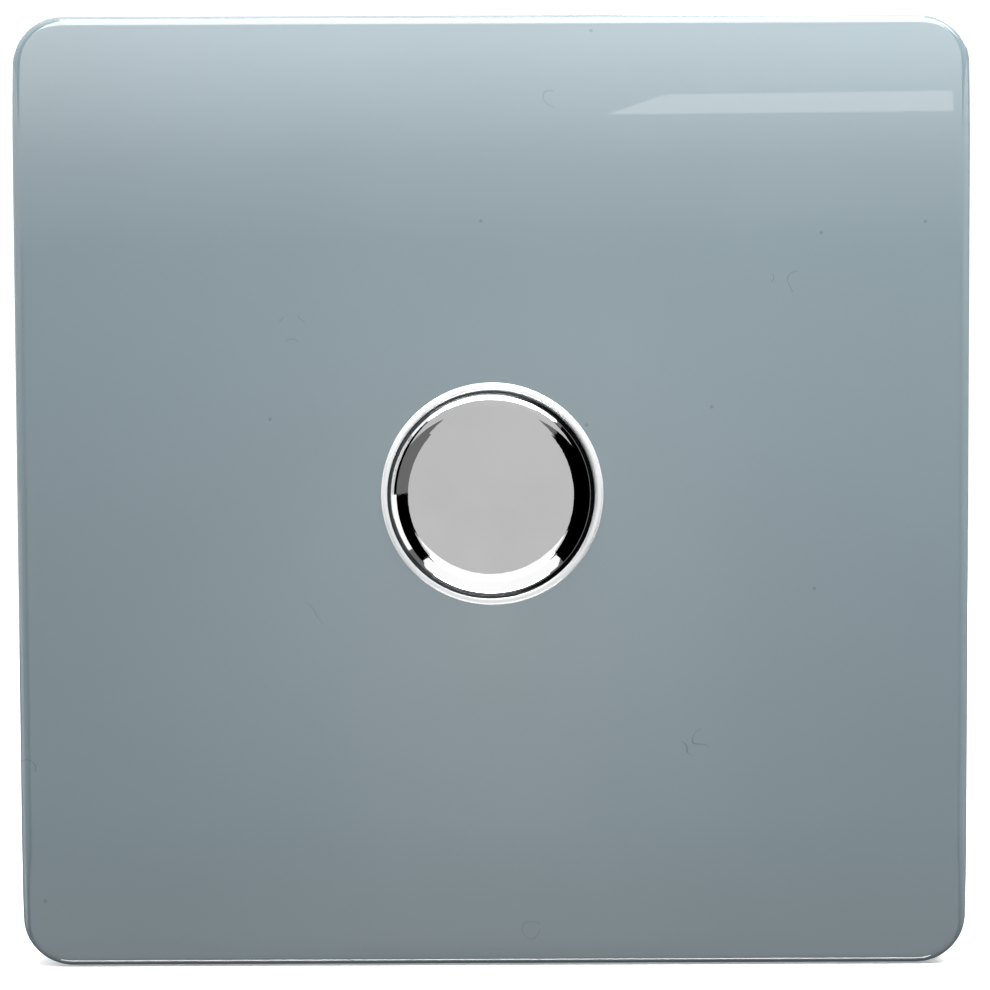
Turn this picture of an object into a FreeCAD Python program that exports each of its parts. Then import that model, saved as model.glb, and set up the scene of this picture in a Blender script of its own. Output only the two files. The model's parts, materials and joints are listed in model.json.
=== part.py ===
import FreeCAD, Part
import math
import os
import re
import PartDesign
import Sketcher

# Rotary dimmer switch: a push-and-turn knob on a square gloss cover plate, a steel
# yoke that two screws hold on the wall box, and a moulded case of electronics behind.
#
# Frame: the wall face is the plane Y = 0, the front looks along -Y, +Z is up and the
# origin lies on the knob's axis. "Height" below means the distance in front of the
# wall, and "depth" the distance behind it. All lengths are in millimetres.

SIZES = {
    # Cover plate
    "plate_width": 87.0,
    "plate_height": 87.0,
    "plate_projection": 7.0,
    "plate_wall": 1.8,
    "plate_corner_radius": 4.5,
    "plate_edge_radius": 0.85,
    "plate_flat_height": 60.0,
    "plate_fall": 1.15,
    "rib_thickness": 1.2,
    "rib_height": 1.6,
    "rib_spacing": 30.0,
    "seat_wall": 1.6,
    "seat_height": 2.0,
    "hook_spacing": 44.0,
    "hook_width": 6.0,
    "hook_thickness": 1.4,
    "hook_catch": 0.9,
    "hook_gap": 0.3,
    "notch_width": 10.0,
    "notch_height": 1.2,
    # Ring round the knob
    "bezel_collar_wall": 0.4,
    "bezel_collar_length": 2.8,
    "bezel_fit": 0.1,
    "bezel_lip": 0.25,
    "bezel_height": 0.95,
    "bezel_edge_radius": 0.3,
    # Knob and its clip
    "knob_diameter": 18.3,
    "knob_projection": 10.5,
    "knob_shoulder_radius": 1.85,
    "knob_draft": 0.1,
    "knob_gap": 0.2,
    "knob_wall": 1.5,
    "knob_cap": 2.0,
    "knob_hub_diameter": 10.0,
    "knob_rib_count": 6.0,
    "knob_rib_thickness": 0.9,
    "knob_rib_height": 4.0,
    "clip_thickness": 0.4,
    "clip_width": 3.0,
    "clip_lip": 1.2,
    # Spindle
    "spindle_diameter": 6.0,
    "spindle_fit": 0.04,
    "spindle_grip": 0.05,
    "spindle_flat_depth": 1.5,
    "spindle_end_gap": 0.3,
    "spindle_end_chamfer": 0.5,
    "collar_diameter": 7.6,
    "collar_thickness": 0.8,
    "collar_clearance": 0.1,
    "drive_square": 3.0,
    "drive_gap": 0.1,
    # Motion
    "push_travel": 1.5,
    "push_clearance": 0.5,
    "turn_range": 270.0,
    "stop_clearance": 1.5,
    # Yoke, bush, washer and nut
    "yoke_gap": 2.7,
    "yoke_thickness": 1.2,
    "yoke_flange_height": 4.2,
    "yoke_corner_radius": 3.0,
    "yoke_relief": 5.0,
    "window_height": 1.8,
    "window_gap": 0.3,
    "bush_diameter": 10.0,
    "bush_fit": 0.1,
    "bush_flange_diameter": 14.0,
    "bush_thread_left": 1.5,
    "bush_chamfer": 0.4,
    "washer_thickness": 0.5,
    "washer_diameter": 15.5,
    "washer_teeth": 12.0,
    "washer_tooth_depth": 1.2,
    "nut_across_flats": 14.0,
    "nut_thickness": 2.0,
    "thread_fit": 0.02,
    # Fixing screws
    "fixing_edge": 8.85,
    "fixing_slot_width": 3.9,
    "fixing_slot_length": 6.5,
    "fixing_thread": 3.5,
    "fixing_neck": 2.9,
    "fixing_neck_gap": 0.1,
    "fixing_head_diameter": 7.0,
    "fixing_head_height": 2.2,
    "fixing_length": 25.0,
    "recess_width": 0.9,
    "recess_length": 3.6,
    "recess_depth": 1.2,
    # Earth terminal
    "earth_tab_thickness": 1.0,
    "earth_tab_width": 8.0,
    "earth_tab_foot": 8.0,
    "earth_tab_leg": 10.0,
    "earth_tab_side_gap": 2.0,
    "earth_tab_drop": 14.0,
    "rivet_diameter": 3.0,
    "rivet_head_diameter": 4.8,
    "rivet_head_height": 0.8,
    "earth_screw_diameter": 3.5,
    "earth_screw_length": 6.0,
    # Case and cover
    "case_wall": 1.6,
    "case_front_wall": 1.6,
    "case_corner_radius": 2.0,
    "case_post_diameter": 5.2,
    "case_post_inset": 2.2,
    "vent_count": 5.0,
    "vent_width": 1.6,
    "vent_spacing": 6.0,
    "vent_length": 9.0,
    "ledge_width": 1.2,
    "ledge_length": 5.0,
    "cover_thickness": 1.6,
    "cover_rib_length": 26.0,
    "cover_rib_spacing": 16.0,
    "case_screw_diameter": 2.3,
    "case_screw_head": 4.4,
    "case_screw_head_height": 1.4,
    "case_screw_length": 8.0,
    "cover_screw_head_height": 0.9,
    "cover_screw_length": 7.0,
    # Room left between the parts in the case
    "part_gap": 0.5,
    "row_gap": 1.5,
    "board_side_gap": 0.2,
    "solder_room": 2.8,
    # Potentiometer
    "track_case_diameter": 16.4,
    "track_case_wall": 0.6,
    "track_case_front": 1.0,
    "track_thickness": 1.1,
    "track_fit": 0.05,
    "rotor_thickness": 1.1,
    "rotor_clearance": 0.3,
    "rotor_edge_gap": 0.8,
    "rotor_hub_diameter": 6.8,
    "rotor_journal_diameter": 6.0,
    "journal_fit": 0.05,
    "wiper_room": 1.4,
    "wiper_thickness": 0.2,
    "wiper_width": 1.5,
    "stop_lug_angle": 20.0,
    "stop_height": 1.0,
    "pin_thickness": 0.8,
    "pin_spacing": 5.0,
    "pin_reach": 1.4,
    # Switch behind the potentiometer
    "switch_width": 14.0,
    "switch_wall": 1.0,
    "plunger_room": 1.0,
    "plunger_thickness": 2.0,
    "plunger_side_gap": 0.3,
    "plunger_end_gap": 0.05,
    "spring_room": 3.6,
    "spring_diameter": 5.0,
    "spring_wire": 0.5,
    "spring_turns": 3.0,
    "spring_seat_gap": 0.05,
    "contact_thickness": 0.3,
    "contact_width": 1.6,
    "contact_gap": 0.4,
    # Circuit board and what stands on it
    "board_thickness": 1.6,
    "board_edge_gap": 0.4,
    "choke_diameter": 11.0,
    "choke_hole": 5.0,
    "choke_height": 5.0,
    "winding_thickness": 0.5,
    "winding_gap": 0.05,
    "winding_angle": 300.0,
    "film_capacitor_width": 6.0,
    "film_capacitor_length": 13.0,
    "film_capacitor_height": 11.0,
    "smoothing_diameter": 8.0,
    "smoothing_height": 11.0,
    "fuse_diameter": 8.0,
    "fuse_height": 7.5,
    "chip_width": 5.0,
    "chip_length": 6.0,
    "chip_height": 1.6,
    "chip_leg_reach": 1.0,
    "chip_leg_pitch": 1.27,
    "chip_leg_width": 0.4,
    "transistor_width": 10.0,
    "transistor_thickness": 4.5,
    "transistor_height": 9.2,
    "transistor_spacing": 14.0,
    "transistor_leg": 2.5,
    "leg_pitch": 2.54,
    "leg_width": 0.8,
    "heat_sink_thickness": 1.6,
    "heat_sink_width": 28.0,
    # Wire terminals
    "terminal_pitch": 10.0,
    "terminal_width": 7.0,
    "terminal_length": 8.0,
    "terminal_opening": 4.6,
    "terminal_floor": 2.8,
    "terminal_roof": 1.0,
    "terminal_tail": 3.0,
    "terminal_room": 5.8,
    "terminal_case_gap": 0.4,
    "terminal_seat_gap": 0.2,
    "terminal_screw_diameter": 3.5,
    "terminal_screw_length": 4.0,
    "access_gap": 0.2,
    "wire_window_margin": 0.3,
}

# Sizes that follow from the ones above, as formulas
plate_half_width = "(plate_width / 2)"
plate_half_height = "(plate_height / 2)"
plate_inside = "(plate_projection - plate_wall)"
plate_middle = "(plate_projection - plate_wall / 2)"
plate_edge_middle = "(plate_projection - plate_fall - plate_wall / 2)"
bezel_bore = "(knob_diameter / 2 + knob_gap)"
bezel_collar = f"({bezel_bore} + bezel_collar_wall)"
plate_hole = f"({bezel_collar} + bezel_fit)"
bezel_rim = f"({plate_hole} + bezel_lip)"
yoke_half_width = "(plate_width / 2 - plate_wall - yoke_gap)"
yoke_half_height = "(plate_height / 2 - plate_wall - yoke_gap)"
fixing_across = f"({yoke_half_width} - fixing_edge)"
washer_front = "(yoke_thickness + washer_thickness)"
nut_front = f"({washer_front} + nut_thickness)"
bush_front = f"({nut_front} + bush_thread_left)"
hub_end = f"({bush_front} + push_travel + push_clearance)"
skirt_end = f"({nut_front} + push_travel + push_clearance)"
knob_front = "(plate_projection + knob_projection)"
knob_cavity = f"({knob_front} - knob_cap)"
spindle_end = f"({knob_cavity} - spindle_end_gap)"
spindle_bore = "(spindle_diameter / 2 + spindle_fit)"
knob_bore = "(spindle_diameter / 2 + spindle_grip)"
spindle_flat = "(spindle_diameter / 2 - spindle_flat_depth)"
knob_flat = f"({spindle_flat} + clip_thickness + spindle_grip)"

# Depths behind the wall, from the yoke to the back cover
collar_front = "(case_front_wall + collar_clearance)"
collar_back = f"({collar_front} + collar_thickness)"
rotor_front = f"({collar_back} + push_travel + rotor_clearance)"
rotor_back = f"({rotor_front} + rotor_thickness)"
track_front = f"({rotor_back} + wiper_room)"
track_back = f"({track_front} + track_thickness)"
plunger_front = f"({track_back} + plunger_room)"
plunger_back = f"({plunger_front} + plunger_thickness)"
switch_floor = f"({plunger_back} + spring_room)"
board_front = f"({switch_floor} + switch_wall)"
board_back = f"({board_front} + board_thickness)"
case_rim = f"({board_back} + solder_room)"
cover_back = f"({case_rim} + cover_thickness)"

# Widths and heights of the case, from what it holds
track_radius = "(track_case_diameter / 2)"
bay_part = "max(choke_diameter; film_capacitor_width; smoothing_diameter; fuse_diameter)"
bay_width = f"({bay_part} + 2 * part_gap)"
bay_centre = f"({track_radius} + {bay_width} / 2)"
board_half_width = f"({track_radius} + {bay_width})"
case_inner_half = f"({board_half_width} + board_side_gap)"
case_half_width = f"({case_inner_half} + case_wall)"
chip_centre = f"({track_radius} + row_gap + chip_width / 2)"
transistor_low = f"({chip_centre} + chip_width / 2 + row_gap)"
sink_low = f"({transistor_low} + transistor_thickness)"
case_inner_top = f"({sink_low} + heat_sink_thickness)"
case_top = f"({case_inner_top} + case_wall)"
board_top = f"({case_inner_top} - board_edge_gap)"
board_low = f"(-{track_radius} - terminal_room)"
cage_top = f"({board_low} - part_gap)"
opening_top = f"({cage_top} - terminal_roof)"
opening_low = f"({opening_top} - terminal_opening)"
cage_low = f"({opening_low} - terminal_floor)"
case_inner_low = f"({cage_low} - terminal_case_gap)"
case_low = f"({case_inner_low} - case_wall)"
cage_back = f"({case_rim} - terminal_seat_gap)"
cage_front = f"({cage_back} - terminal_length)"
cage_screw_depth = f"({cage_back} - terminal_length / 2)"
post_across = f"({case_inner_half} - case_post_inset)"
post_top = f"({case_inner_top} - case_post_inset)"
post_low = f"({case_inner_low} + case_post_inset)"
pilot_radius = "(case_screw_diameter / 2)"
terminal_screw_top = f"({opening_low} - part_gap / 2)"
fuse_up = f"({board_low} + row_gap + fuse_diameter / 2)"
smoothing_up = f"({board_low} + row_gap + smoothing_diameter / 2)"
choke_up = f"({fuse_up} + fuse_diameter / 2 + row_gap + choke_diameter / 2)"
film_low = f"({smoothing_up} + smoothing_diameter / 2 + row_gap)"

# Potentiometer stops: the lug on the rotor meets the block in the case at either end
stop_block_angle = "(360 - turn_range - 2 * stop_clearance - stop_lug_angle)"
stop_rest_angle = f"({stop_block_angle} / 2 + stop_lug_angle / 2 + stop_clearance)"
rotor_radius = f"({track_radius} - track_case_wall - rotor_edge_gap)"

doc = FreeCAD.newDocument("rotary_dimmer")
sheet = doc.addObject("Spreadsheet::Sheet", "Sizes")
for row, (alias, size) in enumerate(SIZES.items(), 1):
    sheet.set(f"A{row}", str(size))
    sheet.setAlias(f"A{row}", alias)
doc.recompute()

sub_parts = []


def bound(formula):
    """Turn a formula in size names into one that reads the sheet's cells."""
    return re.sub(r"[a-z_]+", lambda word: f"Sizes.{word[0]}" if word[0] in SIZES else word[0], formula)


def number(formula):
    """Work a formula out now."""
    return float(sheet.evalExpression(bound(formula)))


def bind(thing, name, formula):
    """Tie one property of an object to a formula."""
    thing.setExpression(name, bound(formula))


def new_body(label):
    """Start one sub-part."""
    body = doc.addObject("PartDesign::Body", label)
    body.Label = label
    sub_parts.append(body)
    return body


def origin_part(body, role):
    """Find a plane or an axis of the body's own origin."""
    return next(item for item in body.Origin.OriginFeatures if item.Role == role)


def new_sketch(body, name, plane, lift):
    """Attach a sketch to an origin plane, lifted along the plane's normal."""
    sketch = body.newObject("Sketcher::SketchObject", name)
    sketch.AttachmentSupport = [(origin_part(body, plane), "")]
    sketch.MapMode = "FlatFace"
    bind(sketch, "AttachmentOffset.Base.z", lift)
    return sketch


def tie(sketch, kind, edges, formula):
    """Add a dimension to a sketch and bind it."""
    index = sketch.addConstraint(Sketcher.Constraint(kind, *edges, number(formula)))
    sketch.setExpression(f"Constraints[{index}]", bound(formula))


def tie_point(sketch, edge, end, across, up):
    """Place one point of a sketch from its origin."""
    tie(sketch, "DistanceX", (-1, 1, edge, end), across)
    tie(sketch, "DistanceY", (-1, 1, edge, end), up)


def loop(points):
    """A closed outline of straight edges."""
    def draw(sketch):
        corners = [FreeCAD.Vector(number(across), number(up), 0) for across, up in points]
        first = sketch.GeometryCount
        for start, end in zip(corners, corners[1:] + corners[:1]):
            sketch.addGeometry(Part.LineSegment(start, end), False)
        last = sketch.GeometryCount - 1
        for edge in range(first, last + 1):
            following = first if edge == last else edge + 1
            sketch.addConstraint(Sketcher.Constraint("Coincident", edge, 2, following, 1))
        for edge, (across, up) in enumerate(points, first):
            tie_point(sketch, edge, 1, across, up)
    return draw


def box(left, low, right, top):
    """A rectangle between two corners."""
    return loop([(left, low), (right, low), (right, top), (left, top)])


def centred_box(across, up, width, height):
    """A rectangle about a centre."""
    return box(f"{across} - {width} / 2", f"{up} - {height} / 2",
               f"{across} + {width} / 2", f"{up} + {height} / 2")


def circle(across, up, radius):
    """A full circle."""
    def draw(sketch):
        centre = FreeCAD.Vector(number(across), number(up), 0)
        edge = sketch.addGeometry(Part.Circle(centre, FreeCAD.Vector(0, 0, 1), number(radius)), False)
        tie_point(sketch, edge, 3, across, up)
        tie(sketch, "Radius", (edge,), radius)
    return draw


def upright_slot(across, length, width):
    """A slot with round ends, centred on the sketch's horizontal axis."""
    def draw(sketch):
        radius = number(f"{width} / 2")
        reach = number(f"({length} - {width}) / 2")
        middle = number(across)
        axis = FreeCAD.Vector(0, 0, 1)
        top = Part.Circle(FreeCAD.Vector(middle, reach, 0), axis, radius)
        low = Part.Circle(FreeCAD.Vector(middle, -reach, 0), axis, radius)
        right_low = FreeCAD.Vector(middle + radius, -reach, 0)
        right_top = FreeCAD.Vector(middle + radius, reach, 0)
        left_low = FreeCAD.Vector(middle - radius, -reach, 0)
        left_top = FreeCAD.Vector(middle - radius, reach, 0)
        right = sketch.addGeometry(Part.LineSegment(right_low, right_top), False)
        over = sketch.addGeometry(Part.ArcOfCircle(top, 0, math.pi), False)
        left = sketch.addGeometry(Part.LineSegment(left_top, left_low), False)
        under = sketch.addGeometry(Part.ArcOfCircle(low, math.pi, 2 * math.pi), False)
        for edge, following in ((right, over), (over, left), (left, under), (under, right)):
            sketch.addConstraint(Sketcher.Constraint("Tangent", edge, 2, following, 1))
        tie_point(sketch, over, 3, across, f"({length} - {width}) / 2")
        tie_point(sketch, under, 3, across, f"-({length} - {width}) / 2")
        tie(sketch, "Radius", (over,), f"{width} / 2")
    return draw


def extrude(body, kind, name, plane, lift, length, shapes):
    """Sketch outlines on a plane and raise or sink them."""
    sketch = new_sketch(body, f"{name}_outline", plane, lift)
    doc.recompute()
    for draw in shapes:
        draw(sketch)
    feature = body.newObject(kind, name)
    feature.Profile = sketch
    bind(feature, "Length", length)
    doc.recompute()
    return feature


def pad(body, name, start, end, *shapes):
    """Solid between two heights in front of the wall."""
    return extrude(body, "PartDesign::Pad", name, "XZ_Plane", start, f"{end} - ({start})", shapes)


def pocket(body, name, start, end, *shapes):
    """Cut between two heights in front of the wall."""
    return extrude(body, "PartDesign::Pocket", name, "XZ_Plane", end, f"{end} - ({start})", shapes)


def side_pad(body, name, start, end, *shapes):
    """Solid between two places along X, from a side view."""
    return extrude(body, "PartDesign::Pad", name, "YZ_Plane", start, f"{end} - ({start})", shapes)


def level_pad(body, name, start, end, *shapes):
    """Solid between two levels of Z, from a plan view."""
    return extrude(body, "PartDesign::Pad", name, "XY_Plane", start, f"{end} - ({start})", shapes)


def level_pocket(body, name, start, end, *shapes):
    """Cut between two levels of Z, from a plan view."""
    return extrude(body, "PartDesign::Pocket", name, "XY_Plane", end, f"{end} - ({start})", shapes)


def turned(body, name, points, angle="360", middle=False):
    """Solid turned about the Y axis from (height, radius) points."""
    sketch = new_sketch(body, f"{name}_outline", "YZ_Plane", "0")
    doc.recompute()
    loop([(f"-({height})", radius) for height, radius in points])(sketch)
    feature = body.newObject("PartDesign::Revolution", name)
    feature.Profile = sketch
    feature.ReferenceAxis = (sketch, ["H_Axis"])
    feature.Midplane = middle
    bind(feature, "Angle", angle)
    doc.recompute()
    return feature


def edges_where(feature, wanted):
    """Names of the edges that pass a test."""
    return [f"Edge{n}" for n, edge in enumerate(feature.Shape.Edges, 1) if wanted(edge)]


def dress(body, kind, name, feature, edges, amount):
    """Fillet or chamfer some edges of the last feature."""
    dressed = body.newObject(kind, name)
    dressed.Base = (feature, edges)
    bind(dressed, "Radius" if kind.endswith("Fillet") else "Size", amount)
    doc.recompute()
    return dressed


def along_y(edge):
    """True for a straight edge square to the wall."""
    reach = edge.BoundBox
    return reach.YLength > 0.5 and reach.XLength < 0.01 and reach.ZLength < 0.01


def round_corners(body, name, feature, radius):
    """Fillet the edges that stand square to the wall."""
    return dress(body, "PartDesign::Fillet", name, feature, edges_where(feature, along_y), radius)


def edges_at_height(feature, height, radius=None):
    """Edges that lie flat at one height, or only the circles of one radius there."""
    level = -number(height)
    size = None if radius is None else number(radius)

    def wanted(edge):
        flat = abs(edge.BoundBox.YMin - level) < 0.001 and abs(edge.BoundBox.YMax - level) < 0.001
        return flat and (size is None or abs(edge.BoundBox.XMax - size) < 0.001)
    return edges_where(feature, wanted)


def polar(body, name, feature, count):
    """Repeat a feature round the Y axis."""
    pattern = body.newObject("PartDesign::PolarPattern", name)
    pattern.Originals = [feature]
    pattern.Axis = (origin_part(body, "Y_Axis"), [""])
    pattern.Angle = 360
    bind(pattern, "Occurrences", count)
    body.Tip = pattern
    doc.recompute()
    return pattern


def mirror_across(body, name, features=()):
    """Repeat features, or the whole piece, on the other side of the plane X = 0."""
    pattern = body.newObject("PartDesign::Mirrored", name)
    pattern.TransformMode = "Features" if features else "Whole shape"
    pattern.Originals = list(features)
    pattern.MirrorPlane = (origin_part(body, "YZ_Plane"), [""])
    body.Tip = pattern
    doc.recompute()
    return pattern


# Cover plate

def draw_plate_side(sketch):
    """Side view of the plate: flat in the middle, falling in arcs to its top and low edges."""
    half = number(plate_half_height)
    flat = number("plate_flat_height / 2")
    face = -number("plate_projection")
    edge = -number("plate_projection - plate_fall")
    radius = (half - flat) ** 2 / (2 * (edge - face)) + (edge - face) / 2
    dip = face + radius - (radius ** 2 - ((half - flat) / 2) ** 2) ** 0.5
    half_way = (half + flat) / 2
    corners = [(0, -half), (0, half), (edge, half), (face, flat), (face, -flat), (edge, -half)]
    points = [FreeCAD.Vector(across, up, 0) for across, up in corners]
    back = sketch.addGeometry(Part.LineSegment(points[0], points[1]), False)
    top = sketch.addGeometry(Part.LineSegment(points[1], points[2]), False)
    upper = sketch.addGeometry(Part.Arc(points[2], FreeCAD.Vector(dip, half_way, 0), points[3]), False)
    front = sketch.addGeometry(Part.LineSegment(points[3], points[4]), False)
    lower = sketch.addGeometry(Part.Arc(points[4], FreeCAD.Vector(dip, -half_way, 0), points[5]), False)
    low = sketch.addGeometry(Part.LineSegment(points[5], points[0]), False)
    for before, after in ((back, top), (top, upper), (lower, low), (low, back)):
        sketch.addConstraint(Sketcher.Constraint("Coincident", before, 2, after, 1))
    for before, after in ((upper, front), (front, lower)):
        sketch.addConstraint(Sketcher.Constraint("Tangent", before, 2, after, 1))
    tie_point(sketch, back, 1, "0", f"-{plate_half_height}")
    tie_point(sketch, back, 2, "0", plate_half_height)
    tie_point(sketch, top, 2, "-(plate_projection - plate_fall)", plate_half_height)
    tie_point(sketch, front, 1, "-plate_projection", "plate_flat_height / 2")
    tie_point(sketch, front, 2, "-plate_projection", "-plate_flat_height / 2")
    tie_point(sketch, low, 1, "-(plate_projection - plate_fall)", f"-{plate_half_height}")


def hook_outline(side):
    """Side view of a snap hook: a leg beside the yoke's flange with a barb in its window."""
    inner = f"({yoke_half_height} + hook_gap)"
    outer = f"({inner} + hook_thickness)"
    barb = f"({inner} - hook_catch)"
    window_top = "(yoke_thickness + window_height)"
    heights = [
        (plate_edge_middle, inner),
        (plate_edge_middle, outer),
        ("yoke_thickness - window_gap / 2", outer),
        ("yoke_thickness - window_gap / 2", f"({inner} + window_gap)"),
        ("yoke_thickness + 1.5 * window_gap", barb),
        (f"{window_top} - 1.5 * window_gap", barb),
        (f"{window_top} - window_gap", inner),
    ]
    return loop([(f"-({height})", f"{side} * {up}") for height, up in heights])


def make_front_plate():
    """Moulded cover: a crowned shell with a ringed hole, ribs and four snap hooks inside."""
    body = new_body("front_plate")
    sketch = new_sketch(body, "side_view", "YZ_Plane", "0")
    doc.recompute()
    draw_plate_side(sketch)
    block = body.newObject("PartDesign::Pad", "block")
    block.Profile = sketch
    block.SideType = "Symmetric"
    bind(block, "Length", "plate_width")
    doc.recompute()

    corners = round_corners(body, "corners", block, "plate_corner_radius")
    back = [f"Face{n}" for n, face in enumerate(corners.Shape.Faces, 1)
            if abs(face.BoundBox.YMin) < 0.001 and abs(face.BoundBox.YMax) < 0.001]
    shell = body.newObject("PartDesign::Thickness", "shell")
    shell.Base = (corners, back)
    shell.Reversed = True
    shell.Join = 0
    bind(shell, "Value", "plate_wall")
    doc.recompute()

    half = number(plate_half_width)

    def on_front_rim(edge):
        reach = edge.BoundBox
        forward = reach.YMax < -number("plate_projection - plate_fall - 0.2")
        middle = edge.valueAt((edge.FirstParameter + edge.LastParameter) / 2)
        outside = max(abs(middle.x) - half, abs(middle.z) - number(plate_half_height)) > -1.5
        return forward and outside
    rim = dress(body, "PartDesign::Fillet", "rim", shell,
                edges_where(shell, on_front_rim), "plate_edge_radius")

    seat_start = f"{plate_inside} - seat_height"
    pad(body, "seat_ring", seat_start, plate_middle, circle("0", "0", f"{plate_hole} + seat_wall"))
    rib_start = f"{plate_inside} - rib_height"
    rib_reach = f"({yoke_half_width} - 2 * hook_thickness)"
    bar = [centred_box("0", f"{side} * rib_spacing / 2", f"2 * {rib_reach}", "rib_thickness")
           for side in (1, -1)]
    pad(body, "level_ribs", rib_start, plate_middle, *bar)
    post = [centred_box(f"{side} * rib_spacing / 2", "0", "rib_thickness", "plate_flat_height")
            for side in (1, -1)]
    pad(body, "upright_ribs", rib_start, plate_middle, *post)
    hooks = side_pad(body, "hooks", "hook_spacing / 2 - hook_width / 2",
                     "hook_spacing / 2 + hook_width / 2", hook_outline("1"), hook_outline("-1"))
    mirror_across(body, "hook_pairs", [hooks])
    pocket(body, "knob_hole", seat_start + " - 1", "plate_projection + 1", circle("0", "0", plate_hole))
    pocket(body, "pry_notch", "-1", "notch_height",
           centred_box("0", f"(plate_wall / 2 - {plate_half_height})", "notch_width", "1.4 * plate_wall"))
    return rim


def make_bezel_ring():
    """Bright ring: a thin collar through the plate with a rounded lip on its face."""
    body = new_body("bezel_ring")
    top = "(plate_projection + bezel_height)"
    ring = turned(body, "ring", [
        ("plate_projection - bezel_collar_length", bezel_bore),
        ("plate_projection - bezel_collar_length", bezel_collar),
        ("plate_projection", bezel_collar),
        ("plate_projection", bezel_rim),
        (top, bezel_rim),
        (top, bezel_bore),
    ])
    dress(body, "PartDesign::Fillet", "lip_edges", ring, edges_at_height(ring, top), "bezel_edge_radius")


# Knob, spindle and what holds them together

def make_knob():
    """Plated knob: a cup with a rounded shoulder, a hub with a flat in its bore, and ribs."""
    body = new_body("knob")
    outer = "(knob_diameter / 2)"
    inner = f"({outer} - knob_wall)"
    hub = "(knob_hub_diameter / 2)"
    cup = turned(body, "cup", [
        (skirt_end, inner),
        (skirt_end, outer),
        (knob_front, f"{outer} - knob_draft"),
        (knob_front, "0"),
        (knob_cavity, "0"),
        (knob_cavity, knob_bore),
        (hub_end, knob_bore),
        (hub_end, hub),
        (knob_cavity, hub),
        (knob_cavity, inner),
    ])
    dress(body, "PartDesign::Fillet", "shoulder", cup,
          edges_at_height(cup, knob_front), "knob_shoulder_radius")
    pad(body, "bore_flat", hub_end, f"{knob_cavity} + knob_cap / 2",
        box("-0.45 * spindle_diameter", knob_flat, "0.45 * spindle_diameter", f"0.8 * {hub}"))
    rib = pad(body, "rib", f"{knob_cavity} - knob_rib_height", f"{knob_cavity} + knob_cap / 2",
              box("-knob_rib_thickness / 2", f"-{inner} - knob_wall / 2",
                  "knob_rib_thickness / 2", f"-{hub} + knob_wall / 2"))
    polar(body, "ribs", rib, "knob_rib_count")


def make_spindle():
    """Turned spindle: journal, retaining collar, square drive at the back, flat in front."""
    body = new_body("spindle")
    journal = "(spindle_diameter / 2)"
    turned(body, "journal", [
        (f"-{collar_back}", "0"),
        (f"-{collar_back}", "collar_diameter / 2"),
        (f"-{collar_front}", "collar_diameter / 2"),
        (f"-{collar_front}", journal),
        (f"{spindle_end} - spindle_end_chamfer", journal),
        (spindle_end, f"{journal} - spindle_end_chamfer"),
        (spindle_end, "0"),
    ])
    pad(body, "drive", f"-{plunger_front} + plunger_end_gap", f"-{collar_back}",
        centred_box("0", "0", "drive_square", "drive_square"))
    pocket(body, "flat", f"{hub_end} - push_clearance", f"{spindle_end} + 1",
           box("-spindle_diameter", spindle_flat, "spindle_diameter", "spindle_diameter"))


def make_knob_clip():
    """Leaf of spring steel between the spindle's flat and the bore, hooked over the hub's end."""
    body = new_body("knob_clip")
    low = f"({spindle_flat} + spindle_grip / 2)"
    high = f"({low} + clip_thickness)"
    outside = f"({high} + clip_lip)"
    foot = f"({hub_end} - spindle_grip)"
    leaf = side_pad(body, "leaf", "-clip_width / 2", "clip_width / 2", loop([
        (f"-({foot} - clip_thickness)", low),
        (f"-({foot} - clip_thickness)", outside),
        (f"-{foot}", outside),
        (f"-{foot}", high),
        (f"-({spindle_end} - spindle_end_gap)", high),
        (f"-({spindle_end} - spindle_end_gap)", low),
    ]))
    bend = edges_where(leaf, lambda edge: edge.BoundBox.XLength > 1
                       and abs(edge.BoundBox.Center.y + number(f"{foot} - clip_thickness")) < 0.001
                       and abs(edge.BoundBox.Center.z - number(low)) < 0.001)
    dress(body, "PartDesign::Fillet", "bend", leaf, bend, "0.75 * clip_thickness")


# Yoke and its fastenings

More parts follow.
